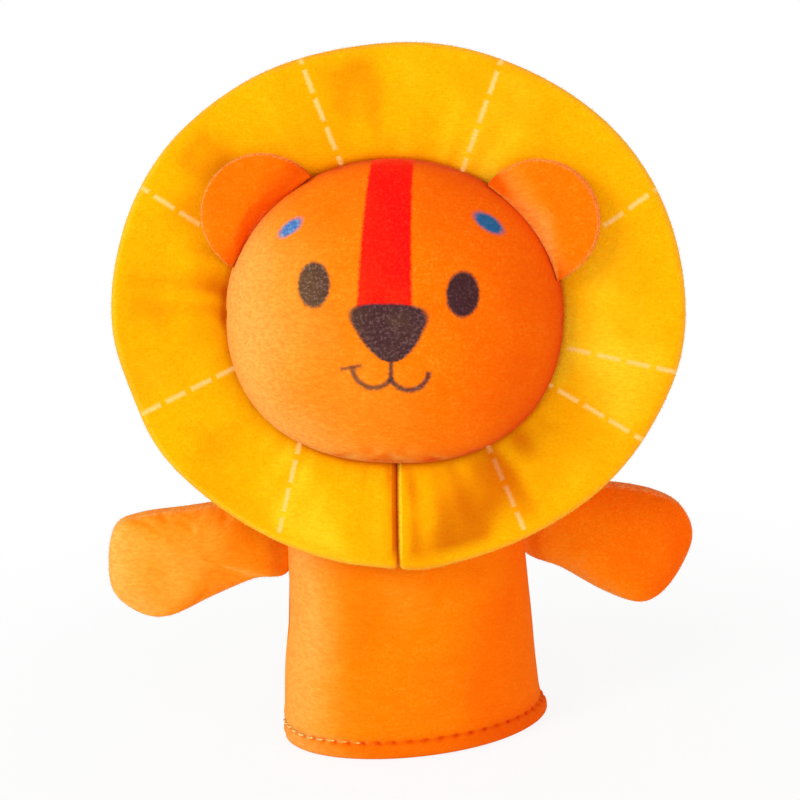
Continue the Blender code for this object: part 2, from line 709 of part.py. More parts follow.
def build():
    for obj in list(bpy.data.objects):
        bpy.data.objects.remove(obj)

    orange = material("orange_cloth", 255, 132, 16)
    yellow = material("yellow_cloth", 255, 186, 4)
    dash = material("pale_print", 255, 214, 140)
    red = material("red_print", 250, 26, 16)
    dark = material("dark_print", 74, 44, 46)
    blue = material("blue_print", 48, 116, 190)
    fibre = material("white_fibre", 240, 238, 232, roughness=1.0)
    thread = material("orange_thread", 255, 158, 58, roughness=0.6)

    puppet = frame("puppet", None)
    sleeve_panel("body_front", True, [orange], puppet)
    sleeve_panel("body_back", False, [orange], puppet)
    hem_thread("hem_thread", [thread], puppet)

    head = frame("head", puppet, head_location(), (math.pi / 2 - HEAD_TILT, 0, HEAD_ROLL))
    head.rotation_mode = "ZYX"
    pad_layer("face_panel", face_outline(), face_seam(), FACE_CROWN, 1, [orange], head)
    pad_layer("head_back", face_outline(), face_seam(), BACK_CROWN, -1, [orange], head)
    pad_filling("head_filling", face_outline(), face_seam(), FACE_CROWN, BACK_CROWN, [fibre], head)
    face_print(dark, red, blue, head)
    mane_layer("mane_front", 1, [yellow, dash], head)
    mane_layer("mane_back", -1, [yellow], head)
    for side, word in ((LEFT, "left"), (RIGHT, "right")):
        ear(side, f"ear_{word}", [orange], head)
        arm(side, f"arm_{word}", [orange], [fibre], puppet)
    centre_over_origin(puppet)


build()
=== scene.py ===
"""The looks of the lion finger puppet: cloth, seams, stitches and print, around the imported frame.

Shapes are worked out in millimetres in each piece's own axes, then turned and moved into the frame's
metres. A section of the puppet has its own axes: the head's are across, up the face and out of the face.
"""

import math

import bpy
import numpy as np
from mathutils import Matrix, Quaternion, Vector, noise


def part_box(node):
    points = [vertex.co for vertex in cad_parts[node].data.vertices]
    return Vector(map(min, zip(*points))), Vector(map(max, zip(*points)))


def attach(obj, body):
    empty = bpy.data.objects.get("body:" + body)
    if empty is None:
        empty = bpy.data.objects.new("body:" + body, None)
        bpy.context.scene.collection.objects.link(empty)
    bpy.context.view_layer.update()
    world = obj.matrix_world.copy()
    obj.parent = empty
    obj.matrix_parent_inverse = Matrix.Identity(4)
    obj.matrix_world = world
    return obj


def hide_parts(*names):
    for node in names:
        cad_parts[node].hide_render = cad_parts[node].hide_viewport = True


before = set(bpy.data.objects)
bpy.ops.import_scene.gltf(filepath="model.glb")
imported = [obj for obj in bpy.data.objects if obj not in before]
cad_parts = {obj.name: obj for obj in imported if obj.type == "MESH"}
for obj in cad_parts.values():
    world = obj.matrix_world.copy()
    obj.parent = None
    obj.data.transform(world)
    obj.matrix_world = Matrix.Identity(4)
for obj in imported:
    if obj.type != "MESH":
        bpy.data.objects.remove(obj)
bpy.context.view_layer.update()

MM = 0.001
LEFT, RIGHT = -1, 1

# The CAD's driving sizes, in millimetres
CLOTH = 1.0
SEAM_GAP = 0.3
SEAM_STACK = SEAM_GAP / 2 + CLOTH
SEAM_ALLOWANCE = 2.0
PAD_FULLNESS, PAD_STEEPNESS = 2.3, 0.62
SLEEVE_HEIGHT = 68.0
HEM_HALF_WIDTH, HEM_HALF_DEPTH = 20.0, 13.0
HEM_RADIUS = (HEM_HALF_WIDTH + HEM_HALF_DEPTH) / 2  # of a round hem of the same girth
NECK_HEIGHT, NECK_HALF_WIDTH = 30.0, 18.0
TOP_HALF_WIDTH = 4.5
SLEEVE_TAPER = 1.25
SLEEVE_LEAN = math.radians(4.0)
HEM_TURN = math.radians(14.0)
HEM_FOLD = 4.5
STITCH_HEIGHT = 2.7
HEAD_TILT, HEAD_ROLL = math.radians(12.0), math.radians(-3.2)
FACE_HALF_WIDTH, FACE_HALF_HEIGHT = 24.2, 21.8
FACE_CROWN, BACK_CROWN = 12.0, 5.0
BROW_SQUARENESS, CHIN_SQUARENESS = 2.0, 2.3
FACE_SEAM = SEAM_STACK + SEAM_GAP  # the face's edge lies on the mane
MANE_HALF_WIDTH, MANE_HALF_HEIGHT, MANE_RISE = 41.5, 37.8, 0.4
MANE_PUFF, MANE_DISH = 0.9, 1.6
MANE_FOLDS = (  # direction, height, half-width (degrees, mm, degrees)
    (-8, 1.2, 14), (10, -0.4, 10), (58, 1.1, 12), (94, -0.9, 10), (111, 0.7, 9), (134, -0.6, 9),
    (182, 1.0, 10), (204, -1.2, 9), (218, 0.6, 8),
)
# Where the cut edge strays from its oval: direction, how far out, half-width (degrees, mm, degrees)
MANE_STRAYS = ((180, -0.55, 17), (208, 0.6, 9), (76, 0.35, 20), (38, 0.5, 17))
# Under the chin the sleeve holds the mane forward, and it falls back on both sides: a place on each fall,
# the way it falls in degrees, how far and over what half-width (mm)
MANE_FALLS = (((18.0, -19.5), -31.4, 6.0, 6.0), ((-17.0, -18.0), 201.7, 3.4, 6.5))
EAR_RADIUS, EAR_CREST = 8.7, 2.6
EAR_CROWN = 1.6
EAR_LIFT = math.radians(7.0)
ARM_ROOT_HEIGHTS = {LEFT: 32.0, RIGHT: 30.2}
ARM_ROOT_HALF_WIDTH = 5.0
ARM_ROOT_SUNK = 0.7  # how far the arm's lower corner reaches back past its root
ARM_CROWN = 3.6

# Shapes of the looks alone, in millimetres
HEAD_SHIFT = 0.5  # to the right of where the solids have it
EAR_MIDDLES = {LEFT: (-18.9, 13.5), RIGHT: (20.3, 13.2)}
SLIT_DIRECTION = math.radians(-88.2)
# Points round each arm, (outwards, up) from its root, joined by a smooth curve
ARM_OUTLINES = {
    LEFT: (
        (-1.6, 4.9), (6.0, 5.2), (13.0, 4.7), (20.0, 4.2), (24.0, 2.6), (25.4, -2.5),
        (24.9, -7.6), (21.0, -11.1), (16.6, -11.6), (10.0, -9.0), (4.0, -6.9), (-1.6, -5.8),
    ),
    RIGHT: (
        (-1.6, 5.2), (6.0, 6.1), (12.5, 5.6), (19.0, 3.9), (23.0, 1.2), (24.4, -3.2),
        (22.4, -8.2), (19.2, -12.0), (15.6, -13.1), (10.3, -10.8), (4.4, -6.9), (-1.6, -3.4),
    ),
}

# Stitches and seams of the looks
SEWN_GAP = 0.01  # half the space left where the sleeve's panels are sewn together
STITCH_PITCH, STITCH_LENGTH, THREAD_RADIUS = 2.0, 1.3, 0.14
SLIT_STITCH_PITCH, SLIT_THREAD_RADIUS = 1.5, 0.1
HEM_ROLL = 1.1  # radius of the fold along the hem's lower edge
MANE_RIM = 1.15  # radius of the mane's rounded rim

# Fineness of the meshes
PANEL_COLUMNS, FINE_BELOW = 160, 12.0  # FINE_BELOW is the height under which the panels' rings are closer
MANE_AROUND, MANE_STEPS = 560, 34
HEAD_AROUND, EAR_AROUND, ARM_AROUND = 180, 110, 130

# Loose fibres along the rims, and how many stand on each millimetre of one
FIBRE_LENGTHS, FIBRE_RADIUS = (0.15, 0.55), 0.022
MANE_FIBRES, PAD_FIBRES = 30, 24

# Cloth simulation: the copy's scale, its length, and how each stuffed piece swells
SETTLE_SCALE, SETTLE_FRAMES = 20, 18
HEAD_SWELLING = {"growth": 0.01, "pressure": 0.8, "limit": 0.5}
EAR_SWELLING = {"growth": 0.01, "pressure": 1.0, "limit": 0.4}
ARM_SWELLING = {"growth": 0.005, "pressure": 1.5, "limit": 0.7}

# Colours, as a screen shows them, 0 to 255
ORANGE, ORANGE_TIPS, ORANGE_PITS = (255, 128, 0), (255, 168, 48), (244, 92, 0)
FACE_ORANGE = (255, 117, 0)
YELLOW, YELLOW_TIPS, YELLOW_PITS = (255, 176, 0), (255, 202, 22), (250, 148, 0)
# Painted shade for creases, seams and grooves, on the orange cloth and on the mane
CREASE_SHADE, MANE_CREASE_SHADE = (214, 48, 0), (210, 88, 0)
STRIPE_RED, STRIPE_TIPS = (252, 14, 10), (255, 62, 44)
PRINT_DARK, PRINT_TIPS = (66, 38, 44), (128, 92, 92)
BROW_BLUE, BROW_TIPS = (36, 108, 186), (104, 184, 226)
DASH_CREAM, DASH_TIPS = (255, 206, 112), (255, 226, 168)
PALE_BASE = (255, 210, 140)
FUZZ_ORANGE, FUZZ_YELLOW = (255, 176, 88), (255, 206, 64)
CLOTH_BACK = (255, 214, 168)
THREAD_ORANGE, THREAD_DEEP = (255, 214, 112), (226, 124, 8)
PAINTED_LIGHT_PALE = ((255, 204, 36), (255, 212, 104))  # painted light: the colour where it turns pale, and where it is palest
# Painted light on the yellow cloth: the colour where it turns pale, and where it is palest
PAINTED_LIGHT_YELLOW = ((255, 232, 30), (255, 232, 50))

# Painted light and shade from one way, to the left as the key light is: across a face-on piece, slopes that
# face along it look paler, and others deeper
PAINTED_LIGHT_WAY = (-0.95, -0.1, -0.22)
# Slants between which the painted light turns paler and the painted shade deeper, and what the painted shade
# multiplies the colour by
PAINTED_LIGHT_RISING, PAINTED_SHADE_FALLING = (0.0, 0.75), (-0.05, -0.5)
PAINTED_SHADE_DEEP = (0.97, 0.7, 0.5)

WORLD_LIGHT = 0.62

# The camera's aim and distance in metres, its lens in millimetres
CAMERA_AIM, CAMERA_DISTANCE, CAMERA_LENS = (0.0018, 0.0, 0.0526), 0.33, 101.4
CAMERA_ELEVATION, CAMERA_TURN, CAMERA_ROLL = math.radians(16.0), math.radians(5.2), math.radians(-3.3)


def linear(colour):
    """A colour as a screen shows it, 0 to 255, in the renderer's own linear values."""
    shares = (c / 255 for c in colour)
    return tuple(s / 12.92 if s <= 0.04045 else ((s + 0.055) / 1.055) ** 2.4 for s in shares)


def mix(start, end, share):
    return start + (end - start) * share


def bell(away, width):
    """1 where away is 0, falling to almost nothing at twice the width on either side."""
    return np.exp(-((away / width) ** 2))


def turned_from(direction, other):
    """The angle from another direction to this one, at most half a turn either way."""
    return np.remainder(direction - other + math.pi, math.tau) - math.pi


def flat_ring(directions, radius):
    """Flat points in the directions, at one radius or at one for each."""
    return np.stack([radius * np.cos(directions), radius * np.sin(directions)], axis=1)


def ring_noise(directions, radius, seed):
    """Smooth noise from -1 to 1 that closes round a ring, with more waves on a wider ring."""
    return np.array([noise.noise(Vector((x, y, seed))) for x, y in flat_ring(directions, radius)])


# Camera


def make_camera():
    """A long lens from a little above and to the right, tilted as the photo is."""
    data = bpy.data.cameras.new("camera")
    camera = bpy.data.objects.new("camera", data)
    bpy.context.scene.collection.objects.link(camera)
    elevation, turn = CAMERA_ELEVATION, CAMERA_TURN
    flat = math.cos(elevation)
    away = Vector((math.sin(turn) * flat, -math.cos(turn) * flat, math.sin(elevation)))
    camera.location = Vector(CAMERA_AIM) + CAMERA_DISTANCE * away
    camera.rotation_mode = "QUATERNION"
    camera.rotation_quaternion = (-away).to_track_quat("-Z", "Y") @ Quaternion((0, 0, 1), CAMERA_ROLL)
    data.sensor_width = 36.0
    data.lens = CAMERA_LENS
    bpy.context.scene.camera = camera


make_camera()


# Meshes


def facing_out(points, faces):
    """The faces of a closed piece, all turned so that they face outwards."""
    corners = np.array([(face[0], face[i], face[i + 1]) for face in faces for i in range(1, len(face) - 1)])
    a, b, c = (points[corners[:, k]] for k in range(3))
    volume = np.einsum("ij,ij->i", a, np.cross(b, c)).sum()
    return [face[::-1] for face in faces] if volume < 0 else faces


def add_mesh(name, points, faces, attributes, materials, face_slots=None):
    """A smooth, closed piece in the frame's metres."""
    points = np.asarray(points, dtype=float)
    mesh = bpy.data.meshes.new(name)
    mesh.from_pydata(points.tolist(), [], facing_out(points, faces))
    for key, values in attributes.items():
        values = np.asarray(values, dtype=float)
        if values.ndim == 2:
            layer = mesh.attributes.new(key, "FLOAT_VECTOR", "POINT")
            layer.data.foreach_set("vector", values.ravel())
        else:
            layer = mesh.attributes.new(key, "FLOAT", "POINT")
            layer.data.foreach_set("value", values)
    for material in materials:
        mesh.materials.append(material)
    if face_slots is not None:
        mesh.polygons.foreach_set("material_index", np.asarray(face_slots, dtype=np.int32))
    mesh.shade_smooth()
    mesh.update()
    piece = bpy.data.objects.new(name, mesh)
    bpy.context.scene.collection.objects.link(piece)
    return piece


def fuzz(piece, material, slot, per_mm, seed):
    """Fine fibres that stand off a finished piece where its rim is, as many to each millimetre of the rim."""
    mesh = piece.data
    mesh.calc_loop_triangles()
    corners = np.array([triangle.vertices for triangle in mesh.loop_triangles])
    places = np.empty(len(mesh.vertices) * 3)
    mesh.vertices.foreach_get("co", places)
    places = places.reshape(-1, 3)
    rim = np.empty(len(mesh.vertices))
    mesh.attributes["rim"].data.foreach_get("value", rim)
    a, b, c = (places[corners[:, k]] for k in range(3))
    normals = np.cross(b - a, c - a)
    areas = np.linalg.norm(normals, axis=1)
    normals /= np.maximum(areas, 1e-15)[:, None]
    weights = areas * (rim[corners].mean(axis=1) > 0.05)
    rng = np.random.RandomState(seed)
    count = int(per_mm * np.ptp(places, axis=0)[[0, 2]].sum() * math.pi / 2 / MM)
    chosen = rng.choice(len(corners), count, p=weights / weights.sum())
    s, t = rng.random_sample((2, count, 1))
    over = s + t > 1
    s, t = np.where(over, 1 - s, s), np.where(over, 1 - t, t)
    base = a[chosen] + s * (b - a)[chosen] + t * (c - a)[chosen]
    normal = normals[chosen]
    lean = rng.normal(size=(count, 3))
    aside = np.cross(normal, lean)
    aside /= np.linalg.norm(aside, axis=1, keepdims=True)
    other = np.cross(aside, normal)
    way = normal + other * rng.uniform(0.2, 1.2, (count, 1))
    way /= np.linalg.norm(way, axis=1, keepdims=True)
    base = base - normal * 0.05 * MM
    tip = base + way * rng.uniform(*FIBRE_LENGTHS, (count, 1)) * MM
    turns = np.arange(3) * math.tau / 3
    foot = [base + FIBRE_RADIUS * MM * (math.cos(a) * aside + math.sin(a) * other) for a in turns]
    points = np.stack(foot + [tip], axis=1).reshape(-1, 3)
    faces = []
    for i in range(0, 4 * count, 4):
        faces += [(i, i + 1, i + 3), (i + 1, i + 2, i + 3), (i + 2, i, i + 3), (i + 2, i + 1, i)]
    dress(add_mesh(f"{piece.name}_fuzz", points, faces, {}, [material]), slot)


def settled(points, faces, held, growth, pressure, limit):
    """Points of a stuffed pad after its cloth has swollen and puckered against its seam.

    held are the seam's points, growth is how much wider the cloth is than the room it has, and limit is
    how far a point may move, in millimetres. The simulation works on a copy blown up to a cushion's size.
    """
    scene = bpy.context.scene
    blown_up = SETTLE_SCALE * MM
    mesh = bpy.data.meshes.new("settling")
    mesh.from_pydata((points * blown_up).tolist(), [], facing_out(points, faces))
    copy = bpy.data.objects.new("settling", mesh)
    scene.collection.objects.link(copy)
    copy.vertex_groups.new(name="seam").add(held, 1.0, "REPLACE")
    cloth = copy.modifiers.new("cloth", "CLOTH")
    cloth.settings.vertex_group_mass = "seam"
    cloth.settings.use_pressure = True
    cloth.settings.uniform_pressure_force = pressure
    cloth.settings.shrink_min = -growth
    cloth.settings.bending_stiffness = 0.2
    cloth.settings.effector_weights.gravity = 0.0
    cloth.point_cache.frame_end = SETTLE_FRAMES
    for number in range(1, SETTLE_FRAMES + 1):
        scene.frame_set(number)
    result = np.empty(points.size)
    copy.evaluated_get(bpy.context.evaluated_depsgraph_get()).data.vertices.foreach_get("co", result)
    bpy.data.objects.remove(copy)
    scene.frame_set(1)
    moved = result.reshape(-1, 3) / blown_up - points
    reach = np.linalg.norm(moved, axis=1, keepdims=True)
    return points + moved * np.minimum(1.0, limit / np.maximum(reach, 1e-9))


def ring_faces(rings, count, closed_rings=False):
    """Quads between rings of count points each, numbered ring by ring."""
    faces = []
    for r in range(rings if closed_rings else rings - 1):
        s = (r + 1) % rings
        for i in range(count):
            j = (i + 1) % count
            faces.append((r * count + i, r * count + j, s * count + j, s * count + i))
    return faces


def lumps(points, size, seed):
    """Smooth noise from -1 to 1 at each point, with lumps of about the given size in millimetres."""
    shift = Vector((seed * 17.3, seed * 5.1, seed * 9.7))
    return np.array([noise.noise(Vector(p) / size + shift) for p in points])


def dome_height(share, crown, seam):
    """Height of a stuffed pad's outside at a share of the way from its middle to its seam."""
    return seam + CLOTH + (crown - CLOTH) * np.maximum(0.0, 1.0 - share**PAD_FULLNESS) ** PAD_STEEPNESS


def to_frame(points, matrix):
    """Points in a section's own millimetres, moved into the frame's metres."""
    rotation = np.array(matrix.to_3x3())
    return (np.asarray(points) @ rotation.T + np.array(matrix.translation)) * MM


# Where the sections stand


def sleeve_half_width(height):
    below = mix(HEM_HALF_WIDTH, NECK_HALF_WIDTH, height / NECK_HEIGHT)
    share = np.clip((height - NECK_HEIGHT) / (SLEEVE_HEIGHT - NECK_HEIGHT), 0.0, 1.0)
    above = mix(TOP_HALF_WIDTH, NECK_HALF_WIDTH, np.sqrt(1.0 - share**2))
    return np.where(height <= NECK_HEIGHT, below, above)


def sleeve_half_depth(height):
    share = np.clip(height / SLEEVE_HEIGHT, 0.0, 1.0)
    return mix(HEM_HALF_DEPTH, SEAM_STACK, share**SLEEVE_TAPER)


def sleeve_turn(height):
    return HEM_TURN * (1.0 - height / SLEEVE_HEIGHT)


def sleeve_offset():
    """How far the sleeve stands from the origin, read from the ring of thread round its hem."""
    low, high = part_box("hem_thread")
    middle = (low + high) / 2 / MM
    return np.array((middle.x, middle.y - STITCH_HEIGHT * math.tan(SLEEVE_LEAN), 0.0))


SLEEVE_AT = sleeve_offset()


def on_sleeve(across, back, height):
    """Points of the untwisted, upright sleeve moved to their twisted and leaning place."""
    turn = sleeve_turn(height)
    x = across * np.cos(turn) - back * np.sin(turn)
    y = across * np.sin(turn) + back * np.cos(turn) + height * math.tan(SLEEVE_LEAN)
    return np.stack([x + SLEEVE_AT[0], y + SLEEVE_AT[1], height], axis=-1)


def face_radius(direction, grow=0.0):
    """Distance from the middle of the face to its seam, at a direction or an array of them."""
    across, up = np.cos(direction), np.sin(direction)
    power = np.where(up > 0, BROW_SQUARENESS, CHIN_SQUARENESS)
    total = np.abs(across / FACE_HALF_WIDTH) ** power + np.abs(up / FACE_HALF_HEIGHT) ** power
    return total ** (-1 / power) + grow


def dome_points(directions, share, height):
    ring = flat_ring(directions, face_radius(directions) * share)
    return np.column_stack([ring, np.full(len(directions), height)])


def head_matrix():
    """The head's tilt and roll, moved to where the face panel of the frame is."""
    turn = Matrix.Rotation(math.pi / 2 - HEAD_TILT, 4, "X") @ Matrix.Rotation(HEAD_ROLL, 4, "Z")
    directions = np.linspace(0, math.tau, 240, endpoint=False)
    shares = np.linspace(0, 0.98, 40)
    loops = [dome_points(directions, s, dome_height(s, FACE_CROWN, FACE_SEAM)) for s in shares]
    loops.append(dome_points(directions, 1.0, FACE_SEAM))
    there = to_frame(np.concatenate(loops), turn) / MM
    low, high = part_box("face_panel")
    middle = (np.array(low) + np.array(high)) / 2 / MM
    shift = middle - (there.min(0) + there.max(0)) / 2 + (HEAD_SHIFT, 0, 0)
    return Matrix.Translation(Vector(shift)) @ turn


HEAD = head_matrix()


# Node graphs


class Graph:
    """Short names for the nodes of one material."""

    def __init__(self, name):
        self.material = bpy.data.materials.new(name)
        self.material.use_nodes = True
        self.tree = self.material.node_tree
        self.shader = self.tree.nodes["Principled BSDF"]

    def node(self, kind, inputs=(), **settings):
        made = self.tree.nodes.new(kind)
        for key, value in settings.items():
            setattr(made, key, value)
        for key, value in dict(inputs).items():
            self.put(made.inputs[key], value)
        return made

    def put(self, socket, value):
        if isinstance(value, bpy.types.NodeSocket):
            self.tree.links.new(value, socket)
        else:
            socket.default_value = value

    def math(self, operation, *values):
        made = self.tree.nodes.new("ShaderNodeMath")
        made.operation = operation
        for socket, value in zip(made.inputs, values):
            self.put(socket, value)
        return made.outputs[0]

    def add(self, a, b):
        return self.math("ADD", a, b)

    def sub(self, a, b):
        return self.math("SUBTRACT", a, b)

    def mul(self, a, b):
        return self.math("MULTIPLY", a, b)

    def length(self, a, b):
        return self.math("SQRT", self.add(self.mul(a, a), self.mul(b, b)))

    def step(self, value, low, high, start=0.0, end=1.0):
        """Smooth step from start, at low, to end, at high."""
        inputs = {"Value": value, "From Min": low, "From Max": high, "To Min": start, "To Max": end}
        return self.node("ShaderNodeMapRange", inputs, interpolation_type="SMOOTHSTEP").outputs["Result"]

    def noise(self, place, scale, detail=2.0, roughness=0.5):
        """Noise from 0 to 1; scale is in lumps per millimetre."""
        inputs = {"Vector": place, "Scale": scale, "Detail": detail, "Roughness": roughness}
        return self.node("ShaderNodeTexNoise", inputs).outputs["Fac"]

    def attribute(self, name):
        return self.node("ShaderNodeAttribute", attribute_name=name)

    def blend(self, share, a, b):
        made = self.node("ShaderNodeMix", data_type="RGBA")
        for socket, value in ((made.inputs[0], share), (made.inputs[6], a), (made.inputs[7], b)):
            if isinstance(value, tuple):
                value = (*linear(value), 1.0)
            self.put(socket, value)
        return made.outputs[2]


def ellipse(g, u, v, middle, half_width, half_height, slope=0.0):
    """Rough distance in millimetres to an ellipse's edge, negative inside; slope is in degrees."""
    slope = math.radians(slope)
    du, dv = g.sub(u, middle[0]), g.sub(v, middle[1])
    x = g.add(g.mul(du, math.cos(slope)), g.mul(dv, math.sin(slope)))
    y = g.sub(g.mul(dv, math.cos(slope)), g.mul(du, math.sin(slope)))
    away = g.length(g.mul(x, 1 / half_width), g.mul(y, 1 / half_height))
    return g.mul(g.sub(away, 1.0), min(half_width, half_height))


def segment(g, u, v, start, end, half_width, dashes=None):
    """Distance to a straight stroke; dashes, if given, are their length, gap and the first one's length."""
    length = math.dist(start, end)
    tx, ty = (end[0] - start[0]) / length, (end[1] - start[1]) / length
    du, dv = g.sub(u, start[0]), g.sub(v, start[1])
    along = g.add(g.mul(du, tx), g.mul(dv, ty))
    aside = g.sub(g.mul(dv, tx), g.mul(du, ty))
    beyond = g.math("MAXIMUM", g.sub(g.math("ABSOLUTE", g.sub(along, length / 2)), length / 2), 0.0)
    away = g.sub(g.length(beyond, aside), half_width)
    if dashes is None:
        return away
    dash, gap, first = dashes
    place = g.math("FLOORED_MODULO", g.add(along, dash - first), dash + gap)
    return g.math("MAXIMUM", away, g.sub(g.math("ABSOLUTE", g.sub(place, dash / 2)), dash / 2))


def arc(g, u, v, middle, radius, half_width, start, end):
    """Distance to a stroke along an arc, from one angle to a greater one, in degrees."""
    start, end = math.radians(start), math.radians(end)
    du, dv = g.sub(u, middle[0]), g.sub(v, middle[1])
    away = g.sub(g.math("ABSOLUTE", g.sub(g.length(du, dv), radius)), half_width)
    facing = (start + end) / 2
    x = g.add(g.mul(du, math.cos(facing)), g.mul(dv, math.sin(facing)))
    y = g.sub(g.mul(dv, math.cos(facing)), g.mul(du, math.sin(facing)))
    turn = g.math("ABSOLUTE", g.math("ARCTAN2", y, x))
    return g.math("MAXIMUM", away, g.mul(g.sub(turn, (end - start) / 2), radius))


class Cloth(Graph):
    """Short-pile cloth: pale tips and dark pits of pile, streaks, cloudy colour, and painted light and shade
    that follow the slant of each slope.
    """

    def __init__(self, name, colour, crease_shade, tips, pits, contrast):
        super().__init__(name)
        self.place = self.attribute("cloth").outputs["Vector"]
        split = self.node("ShaderNodeSeparateXYZ", {"Vector": self.place})
        self.u, self.v = split.outputs["X"], split.outputs["Y"]
        self.front = self.step(split.outputs["Z"], -0.2, 0.2)
        self.fine = self.noise(self.place, 2.4, 3.0, 0.7)
        self.medium = self.noise(self.place, 0.7, 2.0, 0.55)
        self.clouds = self.noise(self.place, 0.1, 2.0, 0.5)
        stretch = {0: self.place, 1: (0.45, 1.0, 1.0)}
        stretched = self.node("ShaderNodeVectorMath", stretch, operation="MULTIPLY").outputs[0]
        self.streaks = self.noise(stretched, 2.3, 3.0, 0.6)
        self.rows = self.math("SINE", self.add(self.mul(self.v, math.tau / 0.42), self.mul(self.medium, 5.0)))
        coarse = self.add(self.mul(self.streaks, 0.22), self.mul(self.medium, 0.18))
        pile = self.add(self.mul(self.fine, 0.6), coarse)
        self.colour = self.blend(self.step(pile, 0.48, 0.66, 0.0, contrast), colour, tips)
        self.colour = self.blend(self.step(pile, 0.34, 0.5, contrast * 1.2, 0.0), self.colour, pits)
        self.colour = self.blend(self.step(self.clouds, 0.4, 0.68, 0.0, contrast * 0.8), self.colour, pits)
        # painted shade in creases and at seams
        self.colour = self.blend(self.attribute("crease_shade").outputs["Fac"], self.colour, crease_shade)
        self.bare = 1.0  # less where something is printed
        self.painted_light_shift = 0.0  # painted light and shade in patches: how much the slant is raised, or lowered

    def painted_light_patches(self, places):
        """Patches of painted light, where the change of slant is above nought, and of painted shade, where it
        is below: middle, half-width, half-height, change of slant.
        """
        for middle, half_width, half_height, change in places:
            across = self.mul(self.sub(self.u, middle[0]), 1 / half_width)
            up = self.mul(self.sub(self.v, middle[1]), 1 / half_height)
            self.painted_light_shift = self.add(self.painted_light_shift, self.step(self.length(across, up), 0.0, 1.0, change, 0.0))
        return self

    def warped(self, reach=0.5):
        """The cloth's u and v, roughened so that printed edges look like print on pile."""
        fuzz = self.noise(self.place, 2.2, 2.0, 0.6)
        aside = self.node("ShaderNodeVectorMath", {0: self.place, 1: (31.7, 12.9, 4.1)})
        fuzz_too = self.noise(aside.outputs[0], 2.2, 2.0, 0.6)
        return (
            self.add(self.u, self.mul(self.sub(fuzz, 0.5), reach)),
            self.add(self.v, self.mul(self.sub(fuzz_too, 0.5), reach)),
        )

    def printed(self, distance, colour, tips, strength=1.0, soft=0.3, show=0.5):
        """Lays a colour over the front where the distance is negative, paler on the tips of the pile."""
        inside = self.mul(self.step(distance, -soft, soft, strength, 0.0), self.front)
        ink = self.blend(self.step(self.fine, 0.45, 0.7, 0.0, show), colour, tips)
        self.colour = self.blend(inside, self.colour, ink)
        self.bare = self.mul(self.bare, self.sub(1.0, self.mul(inside, 0.7)))

    def finish(
        self, pale=PAINTED_LIGHT_PALE, paler=0.42, rising=PAINTED_LIGHT_RISING, deep=PAINTED_SHADE_DEEP, falling=PAINTED_SHADE_FALLING, sheen=0.2
    ):
        """Paints light and shade: rising and falling are the slants along the painted light's way between
        which the colour turns paler, as painted light, and deeper, as painted shade.
        """
        normal = self.node("ShaderNodeTexCoord").outputs["Normal"]
        along_painted_light = self.node("ShaderNodeVectorMath", {0: normal, 1: PAINTED_LIGHT_WAY}, operation="DOT_PRODUCT")
        uneven = self.mul(self.sub(self.clouds, 0.5), 0.12)
        # slant: how far a slope faces the painted light's way, with the painted patches and some cloudy
        # unevenness
        slant = self.add(self.add(along_painted_light.outputs["Value"], self.painted_light_shift), uneven)
        streaked = self.add(self.mul(self.step(self.streaks, 0.35, 0.65), 0.4), 0.75)
        # the edge mask keeps the painted shade, and most of the painted light, off the mane's rounded rim
        edge = self.attribute("edge").outputs["Fac"]
        ramp = self.step(slant, *rising)
        share = self.mul(self.mul(ramp, self.mul(streaked, paler)), self.bare)
        share = self.mul(share, self.sub(1.0, self.mul(edge, 0.6)))
        self.colour = self.blend(share, self.colour, self.blend(ramp, *pale))
        # painted shade: the colour multiplied by the deep colour on slopes that face away
        deepened = self.node("ShaderNodeMix", data_type="RGBA", blend_type="MULTIPLY")
        deeper = self.step(slant, falling[1], falling[0], 1.0, 0.0)
        self.put(deepened.inputs[0], self.mul(deeper, self.sub(1.0, edge)))
        self.put(deepened.inputs[6], self.colour)
        self.put(deepened.inputs[7], (*deep, 1.0))
        fuzz = self.step(self.fine, 0.35, 0.65)
        rim = self.mul(self.attribute("rim").outputs["Fac"], fuzz)
        self.put(self.shader.inputs["Base Color"], self.blend(rim, deepened.outputs[2], PALE_BASE))
        rough = self.node("ShaderNodeMapRange", {"Value": self.fine, "To Min": 0.85, "To Max": 1.0})
        self.put(self.shader.inputs["Roughness"], rough.outputs["Result"])
        height = self.add(self.fine, self.add(self.mul(self.medium, 0.5), self.mul(self.rows, 0.05)))
        bump = self.node("ShaderNodeBump", {"Height": height, "Distance": 0.16 * MM, "Strength": 0.8})
        self.put(self.shader.inputs["Normal"], bump.outputs["Normal"])
        self.shader.inputs["Sheen Weight"].default_value = sheen
        self.shader.inputs["Sheen Roughness"].default_value = 0.4
        self.shader.inputs["Sheen Tint"].default_value = (1.0, 0.6, 0.15, 1.0)
        self.shader.inputs["Specular IOR Level"].default_value = 0.03
        return self.material


ORANGE_CLOTH = (ORANGE, CREASE_SHADE, ORANGE_TIPS, ORANGE_PITS, 0.26)
YELLOW_CLOTH = (YELLOW, MANE_CREASE_SHADE, YELLOW_TIPS, YELLOW_PITS, 0.42)


